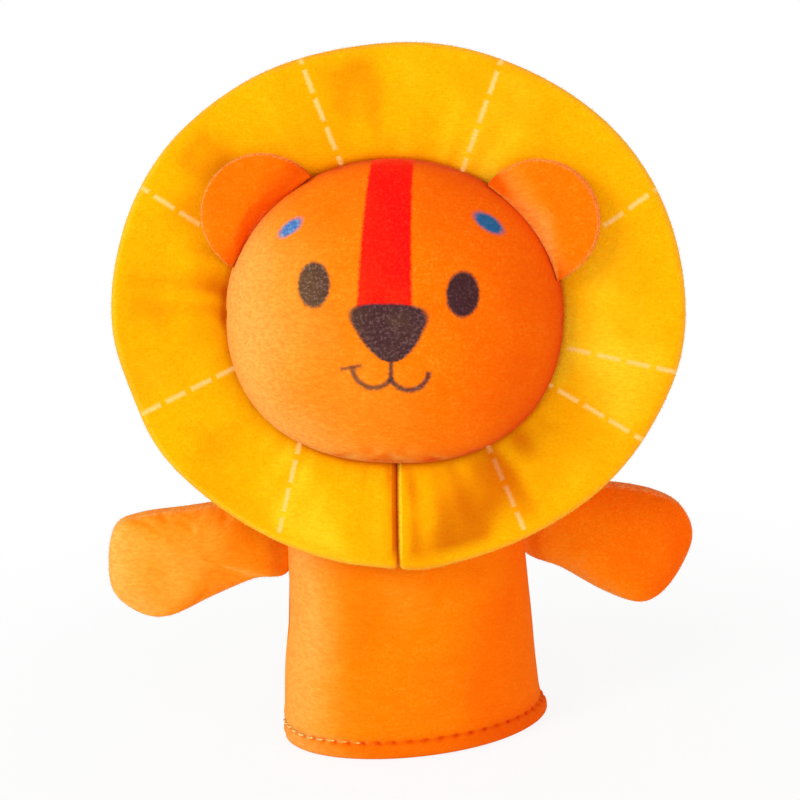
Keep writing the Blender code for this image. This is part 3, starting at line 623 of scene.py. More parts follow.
# Patches of painted light and shade: middle and half-sizes on the cloth in millimetres, change of slant
SLEEVE_PAINTED_LIGHT = (
    ((25.0, 24.0), 9.0, 13.0, 0.36), ((46.0, 19.0), 12.0, 19.0, 0.32),
    ((12.0, 27.0), 11.0, 10.0, 0.25), ((33.0, 15.0), 6.0, 16.0, -0.08),
)
FACE_PAINTED_LIGHT = (
    ((-13.0, -12.0), 12.0, 10.0, -0.14), ((1.0, -17.0), 13.0, 9.0, -0.08), ((13.0, -12.0), 10.0, 10.0, -0.1),
    ((-13.0, 15.0), 10.0, 9.0, -0.14),
)
MANE_PAINTED_LIGHT = (
    ((0.0, 31.0), 18.0, 14.0, -0.07), ((-25.0, 25.0), 18.0, 16.0, -0.1), ((-29.0, -17.0), 13.0, 13.0, -0.1),
    ((-27.0, -5.0), 8.0, 9.0, 0.15), ((9.0, -28.0), 6.0, 9.0, -0.03), ((29.0, -22.0), 12.0, 12.0, 0.1),
)


def nose_distance(g, u, v):
    """A rounded triangle: blunt upper corners above, and sides that close like a parabola below."""
    widest, half_width, top, tip = -0.75, 5.45, 1.45, -6.6
    middle = g.add(g.mul(g.sub(widest, v), 0.08), 0.2)
    aside = g.math("ABSOLUTE", g.sub(u, middle))
    above = g.math("MAXIMUM", g.mul(g.sub(v, widest), 1 / (top - widest)), 0.0)
    cubes = [g.math("POWER", value, 3.0) for value in (g.mul(aside, 1 / half_width), above)]
    round_top = g.math("POWER", g.add(*cubes), 1 / 3)
    down = g.math("MINIMUM", g.math("MAXIMUM", g.mul(g.sub(v, tip), 1 / (widest - tip)), 0.0), 1.0)
    sides = g.mul(g.sub(aside, g.mul(g.math("SQRT", down), half_width)), 0.75)
    return g.math("MAXIMUM", g.math("MAXIMUM", g.mul(g.sub(round_top, 1.0), 2.6), sides), g.sub(tip, v))


def face_cloth():
    """The face: a red band, blue brows, and dark eyes, nose and mouth, in the head's own millimetres."""
    g = Cloth("face_cloth", FACE_ORANGE, CREASE_SHADE, ORANGE_TIPS, ORANGE_PITS, 0.34).painted_light_patches(FACE_PAINTED_LIGHT)
    u, v = g.warped()
    half = g.sub(3.85, g.mul(v, 0.04))
    band = g.sub(g.math("ABSOLUTE", g.add(u, 0.4)), half)
    g.printed(g.math("MAXIMUM", band, g.sub(0.6, v)), STRIPE_RED, STRIPE_TIPS, show=0.35)
    blue, dark, line = (BROW_BLUE, BROW_TIPS), (PRINT_DARK, PRINT_TIPS), 0.36
    # The left brow and eye show more of their pale tips than the right ones: painted light on the side towards
    # the key light
    g.printed(ellipse(g, u, v, (-14.15, 11.6), 1.95, 0.85, 37), *blue, show=0.8)
    g.printed(ellipse(g, u, v, (13.45, 12.7), 2.3, 1.0, -32), *blue, show=0.2)
    g.printed(ellipse(g, u, v, (-10.3, 3.8), 2.3, 3.2), *dark, show=0.9)
    g.printed(ellipse(g, u, v, (10.25, 2.9), 2.25, 3.15), *dark, show=0.35)
    g.printed(nose_distance(g, u, v), *dark, show=0.6)
    g.printed(segment(g, u, v, (0.62, -6.4), (0.6, -8.9), 0.32), *dark, 0.9)
    g.printed(arc(g, u, v, (3.05, -7.65), 2.75, line, 205, 357), *dark, 0.9)
    g.printed(arc(g, u, v, (-1.82, -7.3), 2.9, line, 184, 327), *dark, 0.85)
    g.printed(segment(g, u, v, (-6.2, -7.7), (-3.7, -7.2), 0.24), *dark, 0.8)
    # painted light and shade on the face by the slant of its slopes
    return g.finish(paler=0.5, rising=(-0.1, 0.68), deep=(0.9, 0.66, 0.5), falling=(-0.02, -0.42))


# Dashed lines printed on the mane: outer end, inner end, length of the outermost dash
MANE_DASHES = (
    ((-13.9, 35.6), (-8.1, 21.1), 0.7), ((14.7, 35.8), (9.3, 20.1), 0.7), ((37.1, 18.2), (29.5, 12.6), 0.7),
    ((40.4, -7.8), (24.8, -4.7), 2.9), ((36.4, -18.3), (21.6, -9.7), 1.8), ((19.0, -31.2), (13.4, -18.4), 2.4),
    ((-16.4, -32.3), (-13.6, -19.4), 2.0), ((-37.4, -16.0), (-22.5, -8.3), 3.4),
    ((-37.1, 17.4), (-27.7, 11.6), 1.8),
)


def mane_cloth():
    g = Cloth("mane_cloth", *YELLOW_CLOTH).painted_light_patches(MANE_PAINTED_LIGHT)
    u, v = g.warped(0.35)
    for outer, inner, first in MANE_DASHES:
        g.printed(segment(g, u, v, outer, inner, 0.3, (3.35, 0.95, first)), DASH_CREAM, DASH_TIPS, 0.85, 0.24)
    # painted light and shade on the mane by the slant of its slopes
    return g.finish(PAINTED_LIGHT_YELLOW, 0.6, (0.05, 0.45), (0.72, 0.4, 0.4), (0.01, -0.3), sheen=0.1)


def thread_material(name, colour):
    g = Graph(name)
    place = g.node("ShaderNodeTexCoord").outputs["Object"]
    inputs = {"Vector": place, "Scale": 900.0, "Distortion": 1.5}
    twist = g.node("ShaderNodeTexWave", inputs, bands_direction="DIAGONAL")
    darker = tuple(c * 0.82 for c in colour)
    g.put(g.shader.inputs["Base Color"], g.blend(twist.outputs["Fac"], colour, darker))
    bump = g.node("ShaderNodeBump", {"Height": twist.outputs["Fac"], "Distance": 0.05 * MM})
    g.put(g.shader.inputs["Normal"], bump.outputs["Normal"])
    g.shader.inputs["Roughness"].default_value = 0.6
    g.shader.inputs["Sheen Weight"].default_value = 0.3
    return g.material


def fuzz_material(name, colour):
    g = Graph(name)
    g.put(g.shader.inputs["Base Color"], (*linear(colour), 1.0))
    g.shader.inputs["Roughness"].default_value = 1.0
    g.shader.inputs["Specular IOR Level"].default_value = 0.0
    return g.material


# Each cloth's finish paints light and shade by the slant of its slopes. Of the two arms' cloths, one is a
# painted-shade copy for the right arm and the other a painted-light copy for the left.
body_cloth = Cloth("body_cloth", *ORANGE_CLOTH).painted_light_patches(SLEEVE_PAINTED_LIGHT).finish(falling=(-0.1, -0.55))
ear_cloth = Cloth("ear_cloth", FACE_ORANGE, *ORANGE_CLOTH[1:]).finish(paler=0.36, rising=(0.1, 0.8))
painted_shade_cloth = Cloth("painted_shade_cloth", FACE_ORANGE, *ORANGE_CLOTH[1:]).finish(paler=0.3, falling=(0.1, -0.35))
painted_light_cloth = Cloth("painted_light_cloth", *ORANGE_CLOTH).finish(paler=0.54, rising=(-0.5, 0.5), falling=(-0.5, -1.2))
orange_fuzz = fuzz_material("orange_fuzz", FUZZ_ORANGE)
yellow_fuzz = fuzz_material("yellow_fuzz", FUZZ_YELLOW)
cloth_back = Cloth("cloth_back", CLOTH_BACK, ORANGE, CLOTH_BACK, ORANGE_TIPS, 0.2).finish()


def dress(piece, slot, *nodes, fill=None):
    """Attaches a finished piece to the root body and hides the frame's parts that it stands in for."""
    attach(piece, "root")
    if nodes:
        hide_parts(*nodes)
    return piece


# Sleeve


def sleeve_relief(direction, height):
    """How far the sleeve's outside stands out, in millimetres; direction runs all round it."""
    stitch = (0.5 + 0.5 * np.cos(direction * HEM_RADIUS * math.tau / STITCH_PITCH)) ** 2
    groove = -(0.14 + 0.24 * stitch) * bell(height - STITCH_HEIGHT, 0.36)
    roll = 0.14 * np.sin(math.pi * np.clip(height / STITCH_HEIGHT, 0, 1)) ** 0.8
    above = 0.12 * bell(height - STITCH_HEIGHT - 1.0, 0.8)
    from_side = (np.remainder(direction + math.pi / 2, math.pi) - math.pi / 2) * HEM_HALF_DEPTH
    pinch = -0.3 * bell(from_side, 0.8)
    in_hem = np.clip((STITCH_HEIGHT + 0.2 - height) / 0.5, 0, 1)
    corner = 0.85 * bell(turned_from(direction, 0.0) * HEM_HALF_DEPTH, 6.0) * in_hem
    waist = -0.6 * bell(turned_from(direction, math.pi) * HEM_HALF_DEPTH, 8.0) * bell(height - 21.0, 9.0)
    return groove + roll + above + pinch + corner + waist


def panel_section():
    """Heights and insets round a panel's upright section: outside, rolled hem, turned-up cloth, inside."""
    upper = SLEEVE_HEIGHT - np.linspace(0, 1, 30) ** 1.5 * (SLEEVE_HEIGHT - FINE_BELOW)
    lower = np.linspace(FINE_BELOW, HEM_ROLL, 46)[1:]
    outside = [(z, 0.0) for z in np.concatenate([upper, lower])]
    turns = np.linspace(0, math.pi, 13)[1:-1]
    bottom = [(HEM_ROLL * (1 - math.sin(a)), HEM_ROLL * (1 - math.cos(a))) for a in turns]
    inside = [(HEM_ROLL, 2 * HEM_ROLL), (HEM_FOLD - 0.4, 2 * HEM_ROLL)]
    inside += [(HEM_FOLD, 1.9), (HEM_FOLD + 0.05, 1.15)]
    inside += [(z, CLOTH) for z in np.linspace(HEM_FOLD + 1.5, SLEEVE_HEIGHT, len(outside) - 12)]
    return np.array(outside + bottom + inside).T


def panel_crease_shade(direction, around, height):
    """How much painted shade the outside has, in the hem's groove and its stitch dents, just above and below
    it, and at the side seams.
    """
    dent = (0.5 + 0.5 * math.cos(around * math.tau / STITCH_PITCH)) ** 3
    uneven = 0.5 + noise.noise(Vector((around * 0.9, 3.0, 0.0)))
    groove = bell(height - STITCH_HEIGHT, 0.28) * (0.3 + (0.2 + 0.6 * uneven) * dent)
    at_side = bell(math.sin(direction) * HEM_HALF_DEPTH, 0.6)
    turned = 0.2 * bell(np.maximum(height - STITCH_HEIGHT, 0.0), 1.2)
    below = 0.14 * np.clip((STITCH_HEIGHT - height) / 0.5, 0, 1)
    return np.clip(groove + turned + below + 0.3 * at_side, 0, 1)


def dented(points, off_seam):
    """A panel's points with soft dents, which fade out at its seams, its hem and its top."""
    outward = lumps(points, 13.0, 1) * 0.5 + lumps(points, 6.0, 2) * 0.16
    middle = points.copy()
    middle[:, 0] = SLEEVE_AT[0]
    middle[:, 1] = SLEEVE_AT[1] + points[:, 2] * math.tan(SLEEVE_LEAN)
    away = points - middle
    away /= np.maximum(np.linalg.norm(away, axis=1, keepdims=True), 1e-6)
    fade = np.clip(points[:, 2] / 6.0, 0, 1) * np.clip((SLEEVE_HEIGHT - points[:, 2]) / 20.0, 0, 1)
    return points + away * (outward * fade * off_seam)[:, None]


def panel_faces(height, inset):
    """A panel's faces, with a strip that closes each seam edge, and their materials, the inside's being 1."""
    count = len(height)
    faces = ring_faces(PANEL_COLUMNS + 1, count)
    inner = (inset >= CLOTH) & (height > 1.0)
    slots = [int(inner[i] and inner[(i + 1) % count]) for i in range(count)] * PANEL_COLUMNS
    for base in (0, PANEL_COLUMNS * count):
        last, middle = base + count - 1, base + count // 2
        strip = [(base + i, base + i + 1, last - 1 - i, last - i) for i in range(count // 2 - 1)]
        strip.append((middle - 1, middle, middle + 1))
        faces += strip if base else [face[::-1] for face in strip]
        slots += [0] * len(strip)
    return faces, slots


def sleeve_panel(name, side, node):
    """One panel, swept from one side seam to the other; side is -1 for the front and 1 for the back."""
    height, inset = panel_section()
    outside = inset < CLOTH
    directions = math.pi * np.arange(PANEL_COLUMNS + 1) / PANEL_COLUMNS
    loops, cloth, crease_shade = [], [], []
    for direction in directions:
        full = -side * direction
        held = inset - np.where(outside, sleeve_relief(full, height), 0.0)
        across = (sleeve_half_width(height) - held) * math.cos(direction)
        depth = SEWN_GAP + (sleeve_half_depth(height) - held - SEWN_GAP) * math.sin(direction)
        loops.append(on_sleeve(across, side * depth, height))
        around = full * HEM_RADIUS
        cloth.append([(around, z, side * 5.0) for z in height])
        crease_shade.append(np.where(outside, panel_crease_shade(direction, around, height), 0.0))
    off_seam = np.repeat(np.clip(np.sin(directions) * 4, 0, 1), len(height))
    points = dented(np.concatenate(loops), off_seam)
    faces, slots = panel_faces(height, inset)
    attributes = {"cloth": np.concatenate(cloth), "crease_shade": np.concatenate(crease_shade)}
    piece = add_mesh(name, points * MM, faces, attributes, [body_cloth, cloth_back], slots)
    return dress(piece, "orange_cloth", node)


def tube(points, radius, sides=6):
    """A round tube with tapering ends along points, as its points and faces."""
    points = np.asarray(points)
    rings = []
    for i, point in enumerate(points):
        ahead = points[min(i + 1, len(points) - 1)] - points[max(i - 1, 0)]
        ahead /= np.linalg.norm(ahead)
        aside = np.cross(ahead, (0.0, 0.0, 1.0))
        if np.linalg.norm(aside) < 0.2:
            aside = np.cross(ahead, (0.0, 1.0, 0.0))
        aside /= np.linalg.norm(aside)
        other = np.cross(ahead, aside)
        size = radius * (0.55 if i in (0, len(points) - 1) else 1.0)
        turns = np.arange(sides) * math.tau / sides
        rings.append(point + size * (np.cos(turns)[:, None] * aside + np.sin(turns)[:, None] * other))
    faces = ring_faces(len(points), sides)
    last = (len(points) - 1) * sides
    faces += [tuple(range(sides))[::-1], tuple(range(last, last + sides))]
    return np.concatenate(rings), faces


def joined(name, parts, material):
    points, faces, first = [], [], 0
    for part_points, part_faces in parts:
        points.append(part_points)
        faces += [tuple(first + i for i in face) for face in part_faces]
        first += len(part_points)
    return add_mesh(name, np.concatenate(points) * MM, faces, {}, [material])


def hem_stitches():
    """Separate stitches in the groove round the hem, each dipping into the cloth at both ends."""
    girth = math.tau * HEM_RADIUS
    count = round(girth / STITCH_PITCH)
    reach = STITCH_LENGTH / girth * math.tau
    parts = []
    for i in range(count):
        start = math.tau * (i + 0.5) / count
        directions = start + np.linspace(-reach / 2, reach / 2, 7)
        tight = 0.5 + 0.5 * math.cos(start - 0.1)  # the thread is sunk at the right and slack at the left
        rise = 0.5 - 0.8 * tight - 0.5 * np.abs(np.linspace(-1, 1, 7)) ** 3
        height = STITCH_HEIGHT + 0.12 * np.sin(directions * 9.0)
        held = 0.4 - rise
        across = (sleeve_half_width(height) - held) * np.cos(directions)
        back = -(sleeve_half_depth(height) - held) * np.sin(directions)
        parts.append(tube(on_sleeve(across, back, height), THREAD_RADIUS))
    piece = joined("hem_stitches", parts, thread_material("hem_thread", THREAD_ORANGE))
    return dress(piece, "orange_thread", "hem_thread")


# Head


def pad_rings(edge_in, groove, crown_front, crown_back, seam, steps):
    """(share, height, inset) rings of a closed pad from the front's middle, round the seam, to the back's."""
    spread = np.sin(np.linspace(0.02, 1, steps) * math.pi / 2)[:-1] * 0.992

    def half(crown, side):
        rings = [(s, side * dome_height(s, crown, seam), 0.0) for s in spread]
        rings += [(1.0, side * (seam + CLOTH * share), 0.0) for share in (0.9, 0.45)]
        rings += [(1.0, side * (seam + 0.12), 0.12)]
        return rings + [(1.0, side * seam, edge_in * 0.5), (1.0, side * groove, edge_in)]

    return half(crown_front, 1) + half(crown_back, -1)[::-1]


def with_poles(points, count):
    """The points, and after them the middles of their first and last rings of count points."""
    return np.vstack([points, points[:count].mean(0), points[-count:].mean(0)])


def pad_mesh(name, outline, middle, rings, matrix, material, shape, swollen, colour=None, pile=(0.0, 0.0)):
    """A stuffed pad: the outline's rings, with both poles closed.

    swollen is what settled is told, shape then moves the points, colour gives their painted shade at the seam
    and their pale rim, and pile moves the cloth's pattern.
    """
    outline, middle = np.asarray(outline), np.asarray(middle)
    reach = np.linalg.norm(outline - middle, axis=1)
    unit = (outline - middle) / reach[:, None]
    count, total = len(outline), len(rings)
    loops = []
    for share, height, inset in rings:
        flat = middle + unit * (reach * share - inset)[:, None]
        loops.append(np.column_stack([flat, np.full(count, height)]))
    points = np.concatenate(loops)
    shares = np.repeat([ring[0] for ring in rings], count)
    sides = np.repeat(np.where(np.arange(total) < total / 2, 1.0, -1.0), count)
    directions = np.tile(np.arange(count) / count * math.tau, total)
    cloth = points.copy()
    away = (1 - shares) * np.tile(reach, total)
    # painted shade along the seam, deepest at it
    crease_shade, rim = bell(away, 0.5) * 0.5 + bell(away, 1.5) * 0.42, np.zeros(len(points))
    if colour is not None:
        crease_shade, rim = colour(points, away)
    front, back, last = len(points), len(points) + 1, (total - 1) * count
    faces = ring_faces(total, count)
    for i in range(count):
        j = (i + 1) % count
        faces += [(front, j, i), (back, last + i, last + j)]
    held = np.flatnonzero(shares >= 1.0).tolist()
    points = settled(with_poles(points, count), faces, held, **swollen)[:front]
    points = with_poles(shape(points, sides, directions, away), count)
    cloth = np.vstack([cloth, points[-2:]]) + (*pile, 0.0)
    attributes = {"cloth": cloth, "crease_shade": np.append(crease_shade, (0, 0)), "rim": np.append(rim, (0, 0))}
    return add_mesh(name, to_frame(points, matrix), faces, attributes, [material])


def head():
    directions = np.linspace(0, math.tau, HEAD_AROUND, endpoint=False)
    outline = flat_ring(directions, face_radius(directions))

    def shape(points, sides, turns, away):
        tight = 0.5 + 0.5 * lumps(dome_points(turns, 1.0, 0.0), 9.0, 21)
        gathers = 0.05 * tight * np.cos(turns * 62) * bell(away, 1.6) * (away > 0)
        soft = lumps(points, 9.0, 3) * 0.22 + lumps(points, 4.0, 4) * 0.07
        points[:, 2] += sides * (gathers + soft * np.clip(away / 2.0, 0, 1))
        return points

    rings = pad_rings(2.1, SEAM_STACK + 0.05, FACE_CROWN, BACK_CROWN, FACE_SEAM - 0.25, 40)
    piece = pad_mesh("head", outline, (0, 0), rings, HEAD, face_cloth(), shape, HEAD_SWELLING)
    nodes = ["face_panel", "head_back", "head_filling", "nose_print", "mouth_print", "stripe_print"]
    nodes += [f"{word}_print_{side}" for word in ("eye", "brow") for side in ("left", "right")]
    return dress(piece, "orange_cloth", *nodes, fill=0.85)


# Mane


def mane_outer_radius(direction):
    across, up = np.cos(direction), np.sin(direction)
    a = (across / MANE_HALF_WIDTH) ** 2 + (up / MANE_HALF_HEIGHT) ** 2
    b = -up * MANE_RISE / MANE_HALF_HEIGHT**2
    c = (MANE_RISE / MANE_HALF_HEIGHT) ** 2 - 1
    return (-b + np.sqrt(b * b - a * c)) / a


def mane_fold(direction, share):
    """How far forward the folds carry the mane at a direction and a share of the way from seam to edge."""
    lift = np.zeros(np.shape(direction))
    for at, height, width in MANE_FOLDS:
        away = turned_from(direction, math.radians(at))
        lift = lift + height * bell(away, math.radians(width)) * np.maximum(share, 0.0)
    radius = mix(face_radius(direction), mane_outer_radius(direction), share)
    across, up = radius * np.cos(direction), radius * np.sin(direction)
    below = np.clip((-3.0 - up) / 14.0, 0.0, 1.0)
    below = below * below * (3 - 2 * below)
    for place, heading, height, width in MANE_FALLS:
        heading = math.radians(heading)
        past = (across - place[0]) * math.cos(heading) + (up - place[1]) * math.sin(heading)
        lift = lift - height * (0.5 + 0.5 * np.tanh(past / width)) * below
    return lift + MANE_DISH * np.maximum(share, 0.0) ** 1.5


def mane_puff(share):
    return MANE_PUFF * np.sin(math.pi * np.clip(share, 0, 1)) ** 0.7


def from_slit(direction, radius):
    """Distance across the slit under the chin, in millimetres, negative to its left."""
    return turned_from(direction, SLIT_DIRECTION) * radius


def mane_edge(directions):
    """Radius of the cut edge, a little wavy, with a notch between two soft corners at the slit."""
    edge = mane_outer_radius(directions)
    slit = from_slit(directions, edge)
    notch = -0.55 * bell(slit, 0.4)
    corners = 0.3 * bell(slit - 4.0, 3.0) - 0.15 * bell(slit + 4.0, 3.0)
    edge = edge + 0.25 * ring_noise(directions, 2.2, 7.0) + notch + corners
    for at, out, width in MANE_STRAYS:
        edge = edge + out * bell(turned_from(directions, math.radians(at)), math.radians(width))
    return edge


def mane_rings(seam, edge):
    """(radius, share, side, fullness) rings from the seam out over the front, round the rim and back in."""
    flat = [(seam - SEAM_ALLOWANCE + 0.3, -1.0)]
    flat += [(mix(seam, edge - MANE_RIM, share), share) for share in np.linspace(0, 1, MANE_STEPS) ** 0.9]
    rim = []
    for turn in np.linspace(math.pi / 2, -math.pi / 2, 13)[1:-1]:
        radius = edge - MANE_RIM + MANE_RIM * math.cos(turn) - 0.22 * bell(turn, 0.28)
        rim.append((radius, 1.0, math.sin(turn), abs(math.sin(turn))))
    front = [(*ring, 1.0, 1.0) for ring in flat]
    back = [(*ring, -1.0, 1.0) for ring in flat[::-1]]
    return front + rim + back


def mane():
    turns = np.linspace(0, math.tau, MANE_AROUND, endpoint=False)
    directions = SLIT_DIRECTION + turns - 0.82 * np.sin(turns)  # closer together near the slit
    seam, edge = face_radius(directions), mane_edge(directions)
    rings = mane_rings(seam, edge)
    phase = ring_noise(directions, 3.1, 1.0) * 5.0
    strength = 0.6 + 0.7 * ring_noise(directions, 2.3, 4.0)
    rows, values = [], {"crease_shade": [], "rim": [], "edge": []}
    for radius, share, side, full in rings:
        true_share = np.clip((radius - seam) / (edge - seam), 0, 1)
        away = np.maximum(radius - seam, 0.0)
        half = SEAM_STACK + mane_puff(true_share * 0.96)
        start = 1 - np.exp(-away / 1.0)
        small = 0.15 * np.cos(directions * 30 + phase) * np.exp(-away / 5.0)
        large = 0.18 * np.cos(directions * 17 - phase * 1.3) * np.exp(-away / 12.0)
        ripples = strength * (small + large) * start
        gap = from_slit(directions, radius)
        groove = -0.85 * bell(gap, 0.34) * (share >= 0)
        plump = 0.16 * bell(np.abs(gap) - 1.6, 1.3) * start
        height = mane_fold(directions, true_share) + side * half + (ripples + side * (groove + plump)) * full
        rows.append(np.column_stack([flat_ring(directions, radius), height]))
        # painted shade at the seam round the face and in the slit's groove
        dark = 0.85 * bell(away, 0.5) + 0.25 * np.exp(-away / 1.5) + 0.95 * bell(gap, 0.3)
        values["crease_shade"].append(np.clip(dark, 0, 1))
        values["rim"].append(np.full(MANE_AROUND, 0.5 * (1 - full) if share >= 1 else 0.0))
        values["edge"].append(np.full(MANE_AROUND, np.clip((share - 0.86) / 0.14, 0.0, 1.0)))
    points = np.concatenate(rows)
    sides = np.repeat([ring[2] for ring in rings], MANE_AROUND)
    attributes = {"cloth": np.column_stack([points[:, :2], sides * 3.0])}
    attributes |= {key: np.concatenate(parts) for key, parts in values.items()}
    soft = lumps(points, 9.0, 5) * 0.3 + lumps(points, 4.0, 6) * 0.09
    fade = np.clip((np.hypot(points[:, 0], points[:, 1]) - np.tile(seam, len(rings))) / 3.0, 0, 1)
    points[:, 2] += soft * fade * np.sign(sides)
    faces = ring_faces(len(rings), MANE_AROUND, closed_rings=True)
    piece = add_mesh("mane", to_frame(points, HEAD), faces, attributes, [mane_cloth()])
    fuzz(piece, yellow_fuzz, "yellow_cloth", MANE_FIBRES, 1)
    return dress(piece, "yellow_cloth", "mane_front", "mane_back", fill=0.3)


def slit_stitches():
    """Small stitches that draw the two ends of the mane together under the chin."""
    seam, edge = float(face_radius(SLIT_DIRECTION)), float(mane_outer_radius(SLIT_DIRECTION))
    start, end = seam + 1.0, edge - 1.6
    count = round((end - start) / SLIT_STITCH_PITCH)
    down = np.array((math.cos(SLIT_DIRECTION), math.sin(SLIT_DIRECTION), 0.0))
    aside = np.array((-down[1], down[0], 0.0))
    steps = np.linspace(-0.4, 0.4, 5)
    parts = []
    for radius in mix(start, end, np.arange(count + 1) / count):
        share = (radius - seam) / (edge - seam)
        height = SEAM_STACK + mane_puff(share) + mane_fold(SLIT_DIRECTION, share) - 0.95
        path = [down * (radius - 0.25 * x) + aside * x + (0, 0, height - 0.7 * x * x) for x in steps]
        points, faces = tube(path, SLIT_THREAD_RADIUS)
        parts.append((to_frame(points, HEAD) / MM, faces))
    piece = joined("slit_stitches", parts, thread_material("mane_thread", THREAD_DEEP))
    return dress(piece, "orange_thread")


# Ears


def ear_outline(side, count):
    """The ear's circle, cut off where it meets the side of the head."""
    circle = np.array(EAR_MIDDLES[side])
    middle = circle * (1 + EAR_CREST / np.hypot(*circle))
    directions = np.linspace(0, math.tau, count, endpoint=False)
    low, high = np.zeros(count), np.full(count, 2 * EAR_RADIUS)
    for _ in range(30):
        reach = (low + high) / 2
        x = middle[0] + reach * np.cos(directions)
        y = middle[1] + reach * np.sin(directions)
        in_circle = np.hypot(x - circle[0], y - circle[1]) < EAR_RADIUS
        off_head = np.hypot(x, y) > face_radius(np.arctan2(y, x), SEAM_GAP)
        good = in_circle & off_head
        low, high = np.where(good, reach, low), np.where(good, high, reach)
    return np.stack([x, y], axis=1), middle


def ear(side, word):
    outline, middle = ear_outline(side, EAR_AROUND)
    around = np.vstack([outline, middle])
    direction = np.arctan2(around[:, 1], around[:, 0])
    radius = np.hypot(around[:, 0], around[:, 1])
    share = (radius - face_radius(direction)) / (mane_outer_radius(direction) - face_radius(direction))
    ruff = mane_fold(direction, share) + SEAM_STACK + mane_puff(share)
    rest = ruff.max() + SEAM_GAP + EAR_CROWN + SEAM_GAP / 2
    outward = Vector((*EAR_MIDDLES[side], 0)).normalized()
    root = outward * float(face_radius(math.atan2(outward.y, outward.x))) + Vector((0, 0, rest - 0.5))
    hinge = Matrix.Rotation(EAR_LIFT, 4, outward.cross(Vector((0, 0, 1))))
    matrix = HEAD @ Matrix.Translation(root) @ hinge
    flat_root = np.array((root.x, root.y))
    along = np.array((outward.x, outward.y))

    def shape(points, sides, turns, away):
        soft = lumps(points, 5.0, 8 + side) * 0.22
        gathers = 0.08 * np.cos(turns * 21) * bell(away, 1.2)
        points[:, 2] += sides * (soft + gathers) * np.clip(away / 1.5, 0, 1)
        from_root = points[:, :2] @ along
        points[:, 2] -= bell(from_root, 2.2) * 0.9
        points[:, :2] -= np.outer(0.7 * bell(from_root, 3.0), along)  # tucked against the head
        return points

    def colour(points, away):
        # painted shade where the ear meets the head, and a pale rim along its edge
        from_root = points[:, :2] @ along
        at_root = bell(np.maximum(from_root, 0), 1.5)
        return at_root * 0.6, bell(away, 0.22) * np.clip(from_root / 2.5, 0, 1) * 0.4

    rings = pad_rings(0.4, 0.06, EAR_CROWN, EAR_CROWN, SEAM_GAP / 2, 20)
    name, pile = f"ear_{word}", (side * 20, 14)
    flat = (outline - flat_root, middle - flat_root)
    piece = pad_mesh(name, *flat, rings, matrix, ear_cloth, shape, EAR_SWELLING, colour, pile)
    fuzz(piece, orange_fuzz, "orange_cloth", PAD_FIBRES, 2)
    return dress(piece, "orange_cloth", f"{name}_front", f"{name}_back", fill=0.5)


# Arms


def smooth_loop(corners, count):
    """Evenly spaced points along the smooth closed curve through the corners."""
    corners = np.array(corners)
    share = np.linspace(0, 1, 30, endpoint=False)[:, None]
    stretches = []
    for i in range(len(corners)):
        a, b, c, d = (corners[(i + k) % len(corners)] for k in (-1, 0, 1, 2))
        bend = (2 * a - 5 * b + 4 * c - d) * share**2 + (3 * b - a - 3 * c + d) * share**3
        stretches.append(0.5 * (2 * b + (c - a) * share + bend))
    closed = np.vstack(stretches + [stretches[0][:1]])
    along = np.concatenate([[0], np.cumsum(np.linalg.norm(np.diff(closed, axis=0), axis=1))])
    targets = np.linspace(0, along[-1], count, endpoint=False)
    return np.stack([np.interp(targets, along, closed[:, k]) for k in (0, 1)], axis=1)


def arm(side, word):
    outline = smooth_loop(ARM_OUTLINES[side], ARM_AROUND) * (side, 1)
    middle = outline.mean(0)
    root_height = ARM_ROOT_HEIGHTS[side]
    stand_off = float(sleeve_half_width(root_height - ARM_ROOT_HALF_WIDTH)) + SEAM_GAP + ARM_ROOT_SUNK
    root = on_sleeve(np.array(side * stand_off), np.array(0.0), np.array(root_height))
    upright = Matrix.Rotation(math.pi / 2 - SLEEVE_LEAN, 4, "X")
    turn = Matrix.Rotation(float(sleeve_turn(root_height)), 4, "Z") @ upright
    matrix = Matrix.Translation(Vector(root)) @ turn

    def shape(points, sides, turns, away):
        soft = lumps(points, 7.0, 11 + side) * 0.35 + lumps(points, 3.5, 13 + side) * 0.12
        gathers = 0.09 * np.cos(turns * 34) * bell(away, 1.4)
        points[:, 2] += sides * (soft + gathers) * np.clip(away / 1.6, 0, 1)
        points[:, 2] *= 1 - 0.3 * bell(points[:, 0], 5.0)  # flatter near the root
        return points

    def colour(points, away):
        # painted shade where the arm meets the sleeve and along its seam, and a pale rim along it
        at_root = bell(points[:, 0] * side - 0.2, 1.3)
        return np.clip(0.08 * bell(away, 0.3) + 0.5 * at_root, 0, 1), 0.3 * bell(away, 0.25)

    rings = pad_rings(0.45, 0.06, ARM_CROWN, ARM_CROWN, SEAM_GAP / 2, 24)
    name, pile = f"arm_{word}", (side * 30, -20)
    # a painted-light copy of the cloth for the left arm, which faces the key light, and a painted-shade copy
    # for the right
    material = painted_light_cloth if side == LEFT else painted_shade_cloth
    piece = pad_mesh(name, outline, middle, rings, matrix, material, shape, ARM_SWELLING, colour, pile)
    fuzz(piece, orange_fuzz, "orange_cloth", PAD_FIBRES, 3)
    return dress(piece, "orange_cloth", f"{name}_front", f"{name}_back", f"{name}_filling", fill=0.7)


# Floor and light


def make_floor(size=3.0):
    mesh = bpy.data.meshes.new("floor")
    corners = [(-size, -size, 0.0), (size, -size, 0.0), (size, size, 0.0), (-size, size, 0.0)]
    mesh.from_pydata(corners, [], [(0, 1, 2, 3)])
    mesh.materials.append(floor_material())
    floor = bpy.data.objects.new("floor", mesh)
    bpy.context.scene.collection.objects.link(floor)


